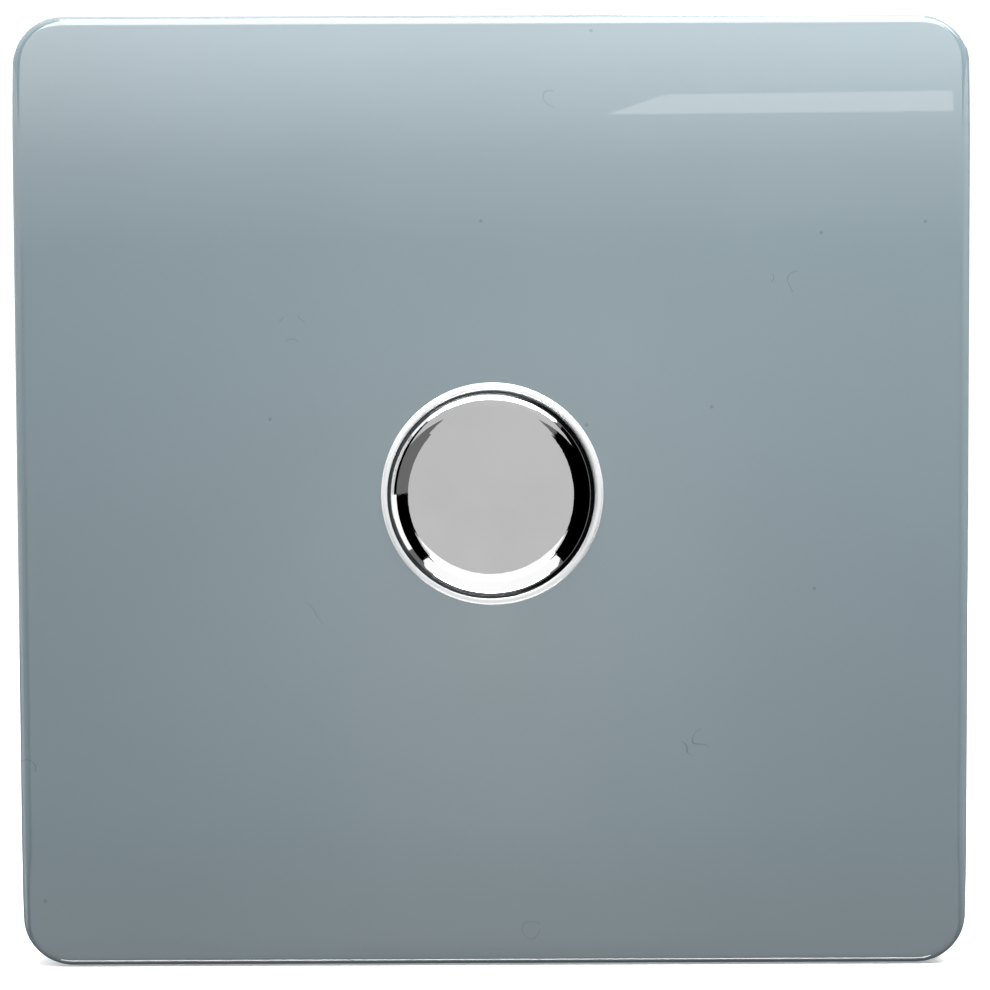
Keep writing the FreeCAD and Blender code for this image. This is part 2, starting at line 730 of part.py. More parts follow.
def make_mounting_yoke():
    """Pressed steel frame: a plate with turned-up flanges, windows for the hooks, and slots."""
    body = new_body("mounting_yoke")
    outside = box(f"-{yoke_half_width}", f"-{yoke_half_height}", yoke_half_width, yoke_half_height)
    inside = box(f"-{yoke_half_width} + yoke_thickness", f"-{yoke_half_height} + yoke_thickness",
                 f"{yoke_half_width} - yoke_thickness", f"{yoke_half_height} - yoke_thickness")
    tray = pad(body, "tray", "0", "yoke_flange_height", outside)
    round_corners(body, "corners", tray, "yoke_corner_radius")
    pocket(body, "hollow", "yoke_thickness", "yoke_flange_height", inside)
    relief = [centred_box(f"{x} * {yoke_half_width}", f"{z} * {yoke_half_height}",
                          "2 * yoke_relief", "2 * yoke_relief")
              for x in (1, -1) for z in (1, -1)]
    pocket(body, "corner_reliefs", "yoke_thickness", "yoke_flange_height + 1", *relief)
    window = [centred_box(f"{x} * hook_spacing / 2", f"{z} * ({yoke_half_height} - yoke_thickness / 2)",
                          "(hook_width + 2 * window_gap)", "2 * yoke_thickness - 0.01")
              for x in (1, -1) for z in (1, -1)]
    pocket(body, "hook_windows", "yoke_thickness", "yoke_thickness + window_height", *window)
    slot = upright_slot(fixing_across, "fixing_slot_length", "fixing_slot_width")
    other = upright_slot(f"-{fixing_across}", "fixing_slot_length", "fixing_slot_width")
    pocket(body, "fixing_slots", "-1", "yoke_thickness + 1", slot, other)
    pocket(body, "bush_hole", "-1", "yoke_thickness + 1", circle("0", "0", "bush_diameter / 2 + bush_fit"))
    pocket(body, "case_screw_holes", "-1", "yoke_thickness + 1",
           circle(f"-{post_across}", post_top, f"{pilot_radius} + bush_fit"),
           circle(post_across, post_low, f"{pilot_radius} + bush_fit"))
    pocket(body, "rivet_hole", "-1", "yoke_thickness + 1",
           circle(earth_across, earth_rivet_up, "rivet_diameter / 2"))


def cross_recess(across):
    """Two crossed bars of a screwdriver recess."""
    long_bar = centred_box(across, "0", "recess_length", "recess_width")
    tall_bar = centred_box(across, "0", "recess_width", "recess_length")
    return long_bar, tall_bar


def make_fixing_screws():
    """Two pan-head screws through the slots, necked where they pass the yoke."""
    body = new_body("fixing_screws")
    across = fixing_across
    head_top = "(yoke_thickness + fixing_head_height)"
    head = pad(body, "head", "yoke_thickness", head_top, circle(across, "0", "fixing_head_diameter / 2"))
    dress(body, "PartDesign::Chamfer", "head_bevel", head,
          edges_where(head, lambda edge: abs(edge.BoundBox.YMax + number(head_top)) < 0.001),
          "0.4 * fixing_head_height")
    pad(body, "neck", "-fixing_neck_gap", "yoke_thickness", circle(across, "0", "fixing_neck / 2"))
    pad(body, "shank", "yoke_thickness - fixing_length", "-fixing_neck_gap",
        circle(across, "0", "fixing_thread / 2"))
    long_bar, tall_bar = cross_recess(across)
    pocket(body, "recess_level", f"{head_top} - recess_depth", head_top, long_bar)
    pocket(body, "recess_upright", f"{head_top} - recess_depth", head_top, tall_bar)
    mirror_across(body, "pair")


earth_across = f"({case_half_width} + earth_tab_side_gap + earth_tab_width / 2)"
earth_rivet_up = "(-earth_tab_drop - earth_tab_foot / 2)"
earth_low = "(-earth_tab_drop - earth_tab_foot)"


def make_earth_tab():
    """Bent brass tab: a foot on the yoke's back and a leg that takes the earth screw."""
    body = new_body("earth_tab")
    tab = side_pad(body, "strip", f"{earth_across} - earth_tab_width / 2",
                   f"{earth_across} + earth_tab_width / 2", loop([
                       ("0", "-earth_tab_drop"),
                       ("0", earth_low),
                       ("earth_tab_leg", earth_low),
                       ("earth_tab_leg", f"{earth_low} + earth_tab_thickness"),
                       ("earth_tab_thickness", f"{earth_low} + earth_tab_thickness"),
                       ("earth_tab_thickness", "-earth_tab_drop"),
                   ]))
    bend = edges_where(tab, lambda edge: edge.BoundBox.XLength > 1 and abs(edge.BoundBox.Center.y) < 0.001
                       and abs(edge.BoundBox.Center.z - number(earth_low)) < 0.001)
    dress(body, "PartDesign::Fillet", "bend", tab, bend, "0.9 * earth_tab_thickness")
    pocket(body, "rivet_hole", "-2 * earth_tab_thickness", "1",
           circle(earth_across, earth_rivet_up, "rivet_diameter / 2"))
    level_pocket(body, "screw_hole", f"{earth_low} - 1", f"{earth_low} + earth_tab_thickness + 1",
                 circle(earth_across, earth_screw_depth, "earth_screw_diameter / 2 + thread_fit"))


earth_screw_depth = "((earth_tab_leg + earth_tab_thickness) / 2)"


def make_earth_rivet():
    """Tubular rivet through the yoke and the tab."""
    body = new_body("earth_rivet")
    pad(body, "shank", "-earth_tab_thickness", "yoke_thickness",
        circle(earth_across, earth_rivet_up, "rivet_diameter / 2"))
    pad(body, "front_head", "yoke_thickness", "yoke_thickness + rivet_head_height",
        circle(earth_across, earth_rivet_up, "rivet_head_diameter / 2"))
    pad(body, "back_head", "-earth_tab_thickness - rivet_head_height", "-earth_tab_thickness",
        circle(earth_across, earth_rivet_up, "rivet_head_diameter / 2"))


def make_earth_screw():
    """Clamp screw under the tab, its head facing down."""
    body = new_body("earth_screw")
    head_low = f"({earth_low} - fixing_head_height)"
    level_pad(body, "head", head_low, earth_low,
              circle(earth_across, earth_screw_depth, "fixing_head_diameter / 2"))
    level_pad(body, "shank", earth_low, f"{earth_low} + earth_screw_length",
              circle(earth_across, earth_screw_depth, "earth_screw_diameter / 2"))
    level_pocket(body, "slot", head_low, f"{head_low} + recess_depth",
                 centred_box(earth_across, earth_screw_depth, "fixing_head_diameter", "recess_width"))


def make_control_bush():
    """Threaded bush: its flange sits in the case's front wall, behind the yoke."""
    body = new_body("control_bush")
    barrel = "(bush_diameter / 2)"
    turned(body, "bush", [
        ("-case_front_wall", spindle_bore),
        ("-case_front_wall", "bush_flange_diameter / 2"),
        ("0", "bush_flange_diameter / 2"),
        ("0", barrel),
        (f"{bush_front} - bush_chamfer", barrel),
        (bush_front, f"{barrel} - bush_chamfer"),
        (bush_front, spindle_bore),
    ])


def make_lock_washer():
    """Washer with teeth all round its rim."""
    body = new_body("lock_washer")
    radius = "(washer_diameter / 2)"
    pad(body, "ring", "yoke_thickness", washer_front,
        circle("0", "0", radius), circle("0", "0", "bush_diameter / 2 + bush_fit"))
    half_gap = f"({radius} * pi / washer_teeth / 2)"
    gap = pocket(body, "tooth_gap", "yoke_thickness - 1", f"{washer_front} + 1", loop([
        (f"-{half_gap} / 2", f"{radius} - washer_tooth_depth"),
        (f"{half_gap} / 2", f"{radius} - washer_tooth_depth"),
        (half_gap, f"{radius} + 1"),
        (f"-{half_gap}", f"{radius} + 1"),
    ]))
    polar(body, "teeth", gap, "washer_teeth")


def make_bush_nut():
    """Thin hexagon nut, chamfered in front."""
    body = new_body("bush_nut")
    corner = "(nut_across_flats / 2 / cos(30 deg))"
    hexagon = loop([(f"{corner} * cos({60 * side} deg)", f"{corner} * sin({60 * side} deg)")
                    for side in range(6)])
    nut = pad(body, "hexagon", washer_front, nut_front, hexagon,
              circle("0", "0", "bush_diameter / 2 + thread_fit"))
    front = edges_at_height(nut, nut_front)
    straight = [name for name in front if nut.getSubObject(name).Curve.TypeId == "Part::GeomLine"]
    dress(body, "PartDesign::Chamfer", "front_chamfer", nut, straight, "0.15 * nut_thickness")


# Case, cover and their screws

posts = [(f"-{post_across}", post_top), (post_across, post_top),
         (f"-{post_across}", post_low), (post_across, post_low)]
terminals = [f"({place} * terminal_pitch)" for place in (-1, 0, 1)]


def make_module_case():
    """Moulded box, open at the back, with screw posts, board ledges, vents and access holes."""
    body = new_body("module_case")
    back = f"-{case_rim}"
    block = pad(body, "block", back, "0", box(f"-{case_half_width}", case_low, case_half_width, case_top))
    round_corners(body, "corners", block, "case_corner_radius")
    pocket(body, "hollow", back, "-case_front_wall",
           box(f"-{case_inner_half}", case_inner_low, case_inner_half, case_inner_top))
    pad(body, "posts", back, "-case_front_wall / 2",
        *[circle(across, up, "case_post_diameter / 2") for across, up in posts])
    upper = [box(f"{side} * {case_inner_half} - ledge_width", f"{board_top} - case_post_diameter"
                 " - part_gap - ledge_length - case_post_inset",
                 f"{side} * {case_inner_half} + ledge_width", f"{board_top} - case_post_diameter"
                 " - part_gap - case_post_inset") for side in (1, -1)]
    lower = [box(f"{side} * {case_inner_half} - ledge_width", f"{board_low} + part_gap",
                 f"{side} * {case_inner_half} + ledge_width", f"{board_low} + part_gap + ledge_length")
             for side in (1, -1)]
    pad(body, "ledges", f"-{board_front}", "-case_front_wall / 2", *upper, *lower)
    pocket(body, "bush_seat", "-case_front_wall - 1", "1",
           circle("0", "0", "bush_flange_diameter / 2 + bush_fit"))
    pocket(body, "cover_pilots", back, f"{back} + cover_screw_length",
           *[circle(across, up, pilot_radius) for across, up in posts])
    pocket(body, "yoke_pilots", "-case_screw_length", "0",
           *[circle(across, up, pilot_radius) for across, up in (posts[0], posts[3])])
    vent = level_pocket(body, "vent", f"{case_inner_top} - 0.5", f"{case_top} + 1",
                        box("-vent_width / 2 - vent_spacing * (vent_count - 1) / 2",
                            f"{board_front} / 2 - vent_length / 2",
                            "vent_width / 2 - vent_spacing * (vent_count - 1) / 2",
                            f"{board_front} / 2 + vent_length / 2"))
    row = body.newObject("PartDesign::LinearPattern", "vents")
    row.Originals = [vent]
    row.Direction = (origin_part(body, "X_Axis"), [""])
    bind(row, "Occurrences", "vent_count")
    bind(row, "Length", "vent_spacing * (vent_count - 1)")
    body.Tip = row
    doc.recompute()
    level_pocket(body, "screw_access", f"{case_low} - 1", f"{case_inner_low} + 0.5",
                 *[circle(across, cage_screw_depth, "terminal_screw_diameter / 2 + access_gap")
                   for across in terminals])


def make_module_cover():
    """Back cover with wire entries, sunk screw holes and ribs that press on the board."""
    body = new_body("module_cover")
    back = f"-{cover_back}"
    front = f"-{case_rim}"
    sheet_block = pad(body, "sheet", back, front,
                      box(f"-{case_half_width}", case_low, case_half_width, case_top))
    round_corners(body, "corners", sheet_block, "case_corner_radius")
    pad(body, "board_ribs", front, f"-{board_back}",
        *[centred_box(f"{side} * cover_rib_spacing / 2", "0", "rib_thickness", "cover_rib_length")
          for side in (1, -1)])
    window = "(terminal_opening + 2 * wire_window_margin)"
    pocket(body, "wire_entries", f"{back} - 1", f"{front} + 1",
           *[centred_box(across, f"({opening_low} + terminal_opening / 2)", window, window)
             for across in terminals])
    pocket(body, "screw_holes", f"{back} - 1", f"{front} + 1",
           *[circle(across, up, f"{pilot_radius} + bush_fit") for across, up in posts])
    pocket(body, "screw_sinks", back, f"{back} + cover_screw_head_height",
           *[circle(across, up, "case_screw_head / 2 + bush_fit") for across, up in posts])


def make_case_screws():
    """Two screws through the yoke into the case's posts."""
    body = new_body("case_screws")
    places = (posts[0], posts[3])
    pad(body, "shanks", "-case_screw_length + part_gap", "yoke_thickness",
        *[circle(across, up, pilot_radius) for across, up in places])
    pad(body, "heads", "yoke_thickness", "yoke_thickness + case_screw_head_height",
        *[circle(across, up, "case_screw_head / 2") for across, up in places])
    top = "(yoke_thickness + case_screw_head_height)"
    pocket(body, "slots", f"{top} - recess_depth / 2", top,
           *[centred_box(across, up, "0.7 * case_screw_head", "recess_width") for across, up in places])


def make_cover_screws():
    """Four screws, their heads flush with the back cover."""
    body = new_body("cover_screws")
    head_front = f"(-{cover_back} + cover_screw_head_height)"
    pad(body, "heads", f"-{cover_back}", head_front,
        *[circle(across, up, "case_screw_head / 2") for across, up in posts])
    pad(body, "shanks", head_front, f"-{case_rim} + cover_screw_length - part_gap",
        *[circle(across, up, pilot_radius) for across, up in posts])
    pocket(body, "slots", f"-{cover_back}", f"-{cover_back} + recess_depth / 2",
           *[centred_box(across, up, "0.7 * case_screw_head", "recess_width") for across, up in posts])


# Potentiometer

def make_potentiometer_case():
    """Round cup behind the bush, with the block that stops the rotor's lug."""
    body = new_body("potentiometer_case")
    inner = f"({track_radius} - track_case_wall)"
    floor = "(case_front_wall + track_case_front)"
    turned(body, "cup", [
        ("-case_front_wall", "collar_diameter / 2 + rotor_clearance"),
        (f"-{floor}", "collar_diameter / 2 + rotor_clearance"),
        (f"-{floor}", inner),
        (f"-{track_back}", inner),
        (f"-{track_back}", track_radius),
        ("-case_front_wall", track_radius),
    ])
    turned(body, "stop_block", [
        (f"-{rotor_back} - track_fit", f"-{rotor_radius} - rotor_clearance"),
        (f"-{rotor_back} - track_fit - stop_height", f"-{rotor_radius} - rotor_clearance"),
        (f"-{rotor_back} - track_fit - stop_height", f"-{inner} - track_case_wall / 2"),
        (f"-{rotor_back} - track_fit", f"-{inner} - track_case_wall / 2"),
    ], stop_block_angle, True)
    body.Placement = FreeCAD.Placement(FreeCAD.Vector(0, 0, 0), FreeCAD.Rotation(FreeCAD.Vector(0, 1, 0), 0))
    bind(body, "Placement.Rotation.Angle", f"-{stop_rest_angle}")


def make_track_disc():
    """Phenolic disc that carries the resistive track and closes the cup."""
    body = new_body("track_disc")
    inner = f"({track_radius} - track_case_wall - track_fit)"
    pad(body, "disc", f"-{track_back}", f"-{track_front}", circle("0", "0", inner),
        circle("0", "0", "rotor_journal_diameter / 2 + journal_fit"))


def make_track_pins():
    """Three bent pins from the foot of the cup to the board."""
    body = new_body("track_pins")
    turn = f"(-{track_radius} - pin_reach)"
    front = f"({track_back} - part_gap - pin_thickness)"
    for name, place in (("left", -1), ("middle", 0), ("right", 1)):
        across = f"{place} * pin_spacing"
        inner_side = f"max(0; {abs(place)} * pin_spacing - pin_thickness / 2)"
        top = f"(-sqrt({track_radius}^2 - ({inner_side})^2) - track_fit)"
        side_pad(body, f"{name}_pin", f"{across} - pin_thickness / 2", f"{across} + pin_thickness / 2", loop([
            (front, top),
            (front, f"{turn} - pin_thickness"),
            (board_front, f"{turn} - pin_thickness"),
            (board_front, turn),
            (f"{front} + pin_thickness", turn),
            (f"{front} + pin_thickness", top),
        ]))


def make_wiper_rotor():
    """Rotor with a square bore, a journal in the track disc and the stop lug."""
    body = new_body("wiper_rotor")
    journal = "(rotor_journal_diameter / 2)"
    hub_back = f"({track_front} - track_fit)"
    turned(body, "disc", [
        (f"-{rotor_front}", "0"),
        (f"-{rotor_front}", rotor_radius),
        (f"-{rotor_back}", rotor_radius),
        (f"-{rotor_back}", "rotor_hub_diameter / 2"),
        (f"-{hub_back}", "rotor_hub_diameter / 2"),
        (f"-{hub_back}", journal),
        (f"-{track_back}", journal),
        (f"-{track_back}", "0"),
    ])
    turned(body, "stop_lug", [
        (f"-{rotor_back} + rotor_thickness / 2", f"-{rotor_radius} + rotor_edge_gap"),
        (f"-{rotor_back} - track_fit - stop_height", f"-{rotor_radius} + rotor_edge_gap"),
        (f"-{rotor_back} - track_fit - stop_height", f"-{rotor_radius} - rotor_edge_gap + rotor_clearance"),
        (f"-{rotor_back} + rotor_thickness / 2", f"-{rotor_radius} - rotor_edge_gap + rotor_clearance"),
    ], "stop_lug_angle", True)
    bore = "(drive_square + 2 * drive_gap)"
    pocket(body, "square_bore", f"-{track_back} - 1", f"-{rotor_front} + 1",
           centred_box("0", "0", bore, bore))


def make_wiper_contact():
    """Bronze leaf on the rotor that presses on the track."""
    body = new_body("wiper_contact")
    low = "(rotor_hub_diameter / 2 + wiper_thickness)"
    high = f"({rotor_radius} - wiper_thickness)"
    touch = f"({track_front} - track_fit)"
    side_pad(body, "leaf", "-wiper_width / 2", "wiper_width / 2", loop([
        (rotor_back, low),
        (f"{rotor_back} + wiper_thickness", low),
        (f"{rotor_back} + wiper_thickness", f"{high} - 2 * wiper_thickness"),
        (f"{touch}", f"{low} + wiper_thickness"),
        (f"{touch}", f"{low} + 3 * wiper_thickness"),
        (f"{rotor_back} + wiper_thickness", high),
        (rotor_back, high),
    ]))


# Push switch

def make_switch_case():
    """Square cup, open towards the potentiometer, that guides the plunger."""
    body = new_body("switch_case")
    cup = pad(body, "cup", f"-{board_front}", f"-{track_back}",
              centred_box("0", "0", "switch_width", "switch_width"))
    round_corners(body, "corners", cup, "switch_wall / 2")
    inner = "(switch_width - 2 * switch_wall)"
    pocket(body, "hollow", f"-{switch_floor}", f"-{track_back}", centred_box("0", "0", inner, inner))
    pad(body, "spring_pip", f"-{switch_floor} - switch_wall / 2", f"-{switch_floor} + spring_wire",
        circle("0", "0", "spring_diameter / 2 - 2 * spring_wire"))


contact_up = "(spring_diameter / 2 + contact_gap + contact_width / 2)"


def make_fixed_contacts():
    """Two contact pads on the floor of the switch."""
    body = new_body("fixed_contacts")
    across = "(switch_width / 2 - switch_wall - contact_width)"
    floor = f"-{switch_floor}"
    pad(body, "pads", floor, f"{floor} + contact_thickness",
        *[centred_box(f"{side} * {across}", contact_up, "contact_width", "contact_width")
          for side in (1, -1)])


def make_plunger():
    """Square slider that the spindle pushes, with a pip for the spring."""
    body = new_body("plunger")
    side = "(switch_width - 2 * switch_wall - 2 * plunger_side_gap)"
    block = pad(body, "block", f"-{plunger_back}", f"-{plunger_front}", centred_box("0", "0", side, side))
    round_corners(body, "corners", block, "plunger_side_gap")
    pad(body, "spring_pip", f"-{plunger_back} - spring_wire", f"-{plunger_back} + plunger_thickness / 2",
        circle("0", "0", "spring_diameter / 2 - 2 * spring_wire"))


def make_moving_contact():
    """Bronze bridge across the back of the plunger."""
    body = new_body("moving_contact")
    side = "(switch_width - 2 * switch_wall - 4 * plunger_side_gap)"
    pad(body, "bridge", f"-{plunger_back} - contact_thickness", f"-{plunger_back}",
        centred_box("0", contact_up, side, "contact_width"))


def make_return_spring():
    """Coil spring of square wire between the plunger and the floor of the switch."""
    body = new_body("return_spring")
    start = f"({plunger_back} + spring_wire / 2 + spring_seat_gap)"
    sketch = new_sketch(body, "wire", "YZ_Plane", "0")
    doc.recompute()
    centred_box(start, "(spring_diameter / 2 - spring_wire / 2)", "spring_wire", "spring_wire")(sketch)
    coil = body.newObject("PartDesign::AdditiveHelix", "coil")
    coil.Profile = sketch
    coil.ReferenceAxis = (sketch, ["H_Axis"])
    coil.Mode = 2
    bind(coil, "Height", "spring_room - spring_wire - 2 * spring_seat_gap")
    bind(coil, "Turns", "spring_turns")
    doc.recompute()


# Circuit board and its components

def make_circuit_board():
    """Glass-fibre board, notched round the two upper posts."""
    body = new_body("circuit_board")
    pad(body, "sheet", f"-{board_back}", f"-{board_front}",
        box(f"-{board_half_width}", board_low, board_half_width, board_top))
    notch = "(case_post_diameter + 4 * board_side_gap)"
    pocket(body, "post_notches", f"-{board_back} - 1", f"-{board_front} + 1",
           *[box(f"{min(side, 0)} * 2 * {notch} + {side} * {post_across} - {side} * {notch} / 2",
                 f"{post_top} - {notch} / 2",
                 f"{max(side, 0)} * 2 * {notch} + {side} * {post_across} - {side} * {notch} / 2",
                 f"{board_top} + {notch}") for side in (1, -1)])


def make_heat_sink():
    """Aluminium plate under the case's top wall, with its edge on the board."""
    body = new_body("heat_sink")
    pad(body, "plate", f"-{board_front}", "-case_front_wall - part_gap",
        box("-heat_sink_width / 2", sink_low, "heat_sink_width / 2", case_inner_top))


def make_power_transistors():
    """Two power transistors, flat against the heat sink, on three legs each."""
    body = new_body("power_transistors")
    back = f"(-{board_front} + transistor_leg)"
    places = [f"({side} * transistor_spacing / 2)" for side in (1, -1)]
    middle = f"({transistor_low} + transistor_thickness / 2)"
    pad(body, "cases", back, f"{back} + transistor_height",
        *[centred_box(across, middle, "transistor_width", "transistor_thickness") for across in places])
    pad(body, "legs", f"-{board_front}", f"{back} + part_gap",
        *[centred_box(f"({across} + {leg} * leg_pitch)", middle, "leg_width", "leg_width")
          for across in places for leg in (-1, 0, 1)])


def make_choke_core():
    """Iron-powder ring that stands on the board inside its winding."""
    body = new_body("choke_core")
    low = f"(-{board_front} + winding_thickness + winding_gap)"
    outer = "(choke_diameter / 2 - winding_thickness - winding_gap)"
    inner = "(choke_hole / 2 + winding_thickness + winding_gap)"
    ring = pad(body, "ring", low, f"{low} + choke_height",
               circle(f"-{bay_centre}", choke_up, outer), circle(f"-{bay_centre}", choke_up, inner))
    return ring


def make_choke_winding():
    """Copper winding round most of the core, as one sleeve."""
    body = new_body("choke_winding")
    low = f"-{board_front}"
    high = f"(-{board_front} + 2 * winding_thickness + 2 * winding_gap + choke_height)"
    outer = "(choke_diameter / 2)"
    inner = "(choke_hole / 2)"
    sketch = new_sketch(body, "sleeve_outline", "YZ_Plane", f"-{bay_centre}")
    doc.recompute()
    loop([(f"-({low})", f"{choke_up} + {inner}"), (f"-({low})", f"{choke_up} + {outer}"),
          (f"-({high})", f"{choke_up} + {outer}"), (f"-({high})", f"{choke_up} + {inner}")])(sketch)
    skin = "winding_thickness"
    loop([(f"-({low} + {skin})", f"{choke_up} + {inner} + {skin}"),
          (f"-({low} + {skin})", f"{choke_up} + {outer} - {skin}"),
          (f"-({high} - {skin})", f"{choke_up} + {outer} - {skin}"),
          (f"-({high} - {skin})", f"{choke_up} + {inner} + {skin}")])(sketch)
    start = FreeCAD.Vector(0, number(choke_up), 0)
    finish = FreeCAD.Vector(-number(board_front), number(choke_up), 0)
    axis = sketch.addGeometry(Part.LineSegment(start, finish), True)
    tie_point(sketch, axis, 1, "0", choke_up)
    tie_point(sketch, axis, 2, f"-{board_front}", choke_up)
    sleeve = body.newObject("PartDesign::Revolution", "sleeve")
    sleeve.Profile = sketch
    sleeve.ReferenceAxis = (sketch, ["Axis0"])
    sleeve.Midplane = True
    bind(sleeve, "Angle", "winding_angle")
    doc.recompute()


def make_film_capacitor():
    """Box-shaped suppression capacitor."""
    body = new_body("film_capacitor")
    case = pad(body, "case", f"-{board_front}", f"-{board_front} + film_capacitor_height",
               box(f"{bay_centre} - film_capacitor_width / 2", film_low,
                   f"{bay_centre} + film_capacitor_width / 2", f"{film_low} + film_capacitor_length"))
    round_corners(body, "corners", case, "0.1 * film_capacitor_width")


def can(label, across, up, diameter, height):
    """Round component standing on the board, with a rolled top edge."""
    body = new_body(label)
    top = f"(-{board_front} + {height})"
    barrel = pad(body, "can", f"-{board_front}", top, circle(across, up, f"{diameter} / 2"))
    rim = edges_where(barrel, lambda edge: abs(edge.BoundBox.YMin + number(f"-({top})")) < 0.001
                      and abs(edge.BoundBox.YMax + number(f"-({top})")) < 0.001)
    return body, barrel, rim


def make_control_chip():
    """Small eight-leg chip."""
    body = new_body("control_chip")
    leg_low = f"-{board_front}"
    seat = f"(-{board_front} + chip_leg_width)"
    pad(body, "case", seat, f"{seat} + chip_height",
        centred_box("0", chip_centre, "chip_length", "chip_width"))
    feet = [centred_box(f"(({place} - 1.5) * chip_leg_pitch)",
                        f"({chip_centre} + {side} * chip_width / 2)", "chip_leg_width",
                        "2 * chip_leg_reach - 0.2")
            for place in range(4) for side in (1, -1)]
    pad(body, "legs", leg_low, f"{seat} + chip_leg_width", *feet)


# Wire terminals

def make_terminal_cages():
    """Three brass box clamps with a solder tail each."""
    body = new_body("terminal_cages")
    pad(body, "cages", f"-{cage_back}", f"-{cage_front}",
        *[box(f"{across} - terminal_width / 2", cage_low, f"{across} + terminal_width / 2", cage_top)
          for across in terminals])
    pocket(body, "openings", f"-{cage_back} - 1", f"-{cage_front} + 1",
           *[centred_box(across, f"({opening_low} + terminal_opening / 2)",
                         "terminal_opening", "terminal_opening") for across in terminals])
    pad(body, "tails", f"-{board_front}", f"-{board_front} + terminal_roof",
        *[box(f"{across} - terminal_roof", f"{cage_top} - terminal_roof / 2",
              f"{across} + terminal_roof", f"{cage_top} + terminal_tail") for across in terminals])
    level_pocket(body, "screw_threads", f"{cage_low} - 1", f"{opening_low} + 0.1",
                 *[circle(across, cage_screw_depth, "terminal_screw_diameter / 2 + thread_fit")
                   for across in terminals])


def make_terminal_screws():
    """Three headless clamp screws, turned from below."""
    body = new_body("terminal_screws")
    low = f"({terminal_screw_top} - terminal_screw_length)"
    level_pad(body, "shanks", low, terminal_screw_top,
              *[circle(across, cage_screw_depth, "terminal_screw_diameter / 2") for across in terminals])
    level_pocket(body, "slots", low, f"{low} + recess_depth",
                 *[centred_box(across, cage_screw_depth, "terminal_screw_diameter", "recess_width")
                   for across in terminals])


make_front_plate()
make_bezel_ring()
make_knob()
make_spindle()
make_knob_clip()
make_mounting_yoke()
make_fixing_screws()
make_earth_tab()
make_earth_rivet()
make_earth_screw()
make_control_bush()
make_lock_washer()
make_bush_nut()
make_module_case()
make_module_cover()
make_case_screws()
make_cover_screws()
make_potentiometer_case()
make_track_disc()
make_track_pins()
make_wiper_rotor()
make_wiper_contact()
make_switch_case()
make_fixed_contacts()
make_plunger()
make_moving_contact()
make_return_spring()
make_circuit_board()
make_heat_sink()
make_power_transistors()
make_choke_core()
make_choke_winding()
make_film_capacitor()
can("smoothing_capacitor", bay_centre, smoothing_up, "smoothing_diameter", "smoothing_height")
can("fuse_link", f"-{bay_centre}", fuse_up, "fuse_diameter", "fuse_height")
make_control_chip()
make_terminal_cages()
make_terminal_screws()
doc.recompute()

# Every object has to be sound before anything is written
for item in doc.Objects:
    if "Invalid" in item.State or "Error" in item.State:
        raise RuntimeError(f"{item.Label} failed: {item.State}")
for body in sub_parts:
    if body.Shape.isNull() or not body.Shape.isValid():
        raise RuntimeError(f"{body.Label} has no sound shape")

os.makedirs("parts", exist_ok=True)
for body in sub_parts:
    body.Shape.exportStep(f"parts/{body.Label}.step")
    print(f"{body.Label}: {len(body.Shape.Solids)} solids, {body.Shape.Volume:.1f} cubic mm")
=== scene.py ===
# %% [markdown]
# # Dressing a rotary dimmer switch
# The frame holds every part of the switch at its real size: the gloss cover plate, the
# bright knob in its ring, and behind the wall a steel yoke with a case of electronics.
# This lesson gives each part the finish of the real one. Three parts are seen as mirrors,
# so they are built again with finer faces. The screws on show get their threads, and the
# return spring and the choke get their wire.

# %% Load the frame
import json
import math

import bmesh
import bpy
from mathutils import Matrix, Vector


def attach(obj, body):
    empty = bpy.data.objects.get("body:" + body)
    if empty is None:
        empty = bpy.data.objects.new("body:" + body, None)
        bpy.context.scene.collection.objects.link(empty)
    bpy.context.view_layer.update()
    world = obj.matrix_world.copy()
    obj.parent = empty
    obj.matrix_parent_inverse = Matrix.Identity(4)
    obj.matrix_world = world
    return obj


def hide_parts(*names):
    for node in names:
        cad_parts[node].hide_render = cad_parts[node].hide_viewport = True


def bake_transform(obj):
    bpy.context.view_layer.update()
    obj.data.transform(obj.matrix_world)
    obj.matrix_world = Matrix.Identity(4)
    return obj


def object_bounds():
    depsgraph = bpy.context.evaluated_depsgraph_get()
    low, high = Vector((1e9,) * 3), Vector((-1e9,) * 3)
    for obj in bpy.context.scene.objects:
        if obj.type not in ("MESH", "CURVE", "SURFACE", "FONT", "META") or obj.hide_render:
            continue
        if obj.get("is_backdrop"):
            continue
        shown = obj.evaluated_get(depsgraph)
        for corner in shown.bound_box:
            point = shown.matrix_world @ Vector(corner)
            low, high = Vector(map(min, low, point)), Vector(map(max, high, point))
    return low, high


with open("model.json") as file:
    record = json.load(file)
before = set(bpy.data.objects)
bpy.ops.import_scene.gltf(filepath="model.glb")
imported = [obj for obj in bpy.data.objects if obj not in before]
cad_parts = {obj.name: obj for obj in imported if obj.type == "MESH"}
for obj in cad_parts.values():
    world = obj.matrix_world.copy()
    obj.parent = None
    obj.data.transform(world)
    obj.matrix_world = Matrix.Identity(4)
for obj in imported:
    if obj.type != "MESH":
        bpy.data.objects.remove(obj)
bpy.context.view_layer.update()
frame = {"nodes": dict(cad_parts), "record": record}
nodes = frame["nodes"]
MM = 0.001

# %% [markdown]
# ## Colours and nodes
# A maker's colour card gives sRGB values, and shaders work in linear light, so one function
# turns the one into the other. A second one adds a node with its settings and its links,
# which is all that a material needs to be built up line by line.

# %% Two helpers for materials
def linear(code):
    """Turn an sRGB hex colour into linear RGBA."""
    parts = [int(code[place:place + 2], 16) / 255 for place in (1, 3, 5)]
    return [part / 12.92 if part <= 0.04045 else ((part + 0.055) / 1.055) ** 2.4
            for part in parts] + [1.0]


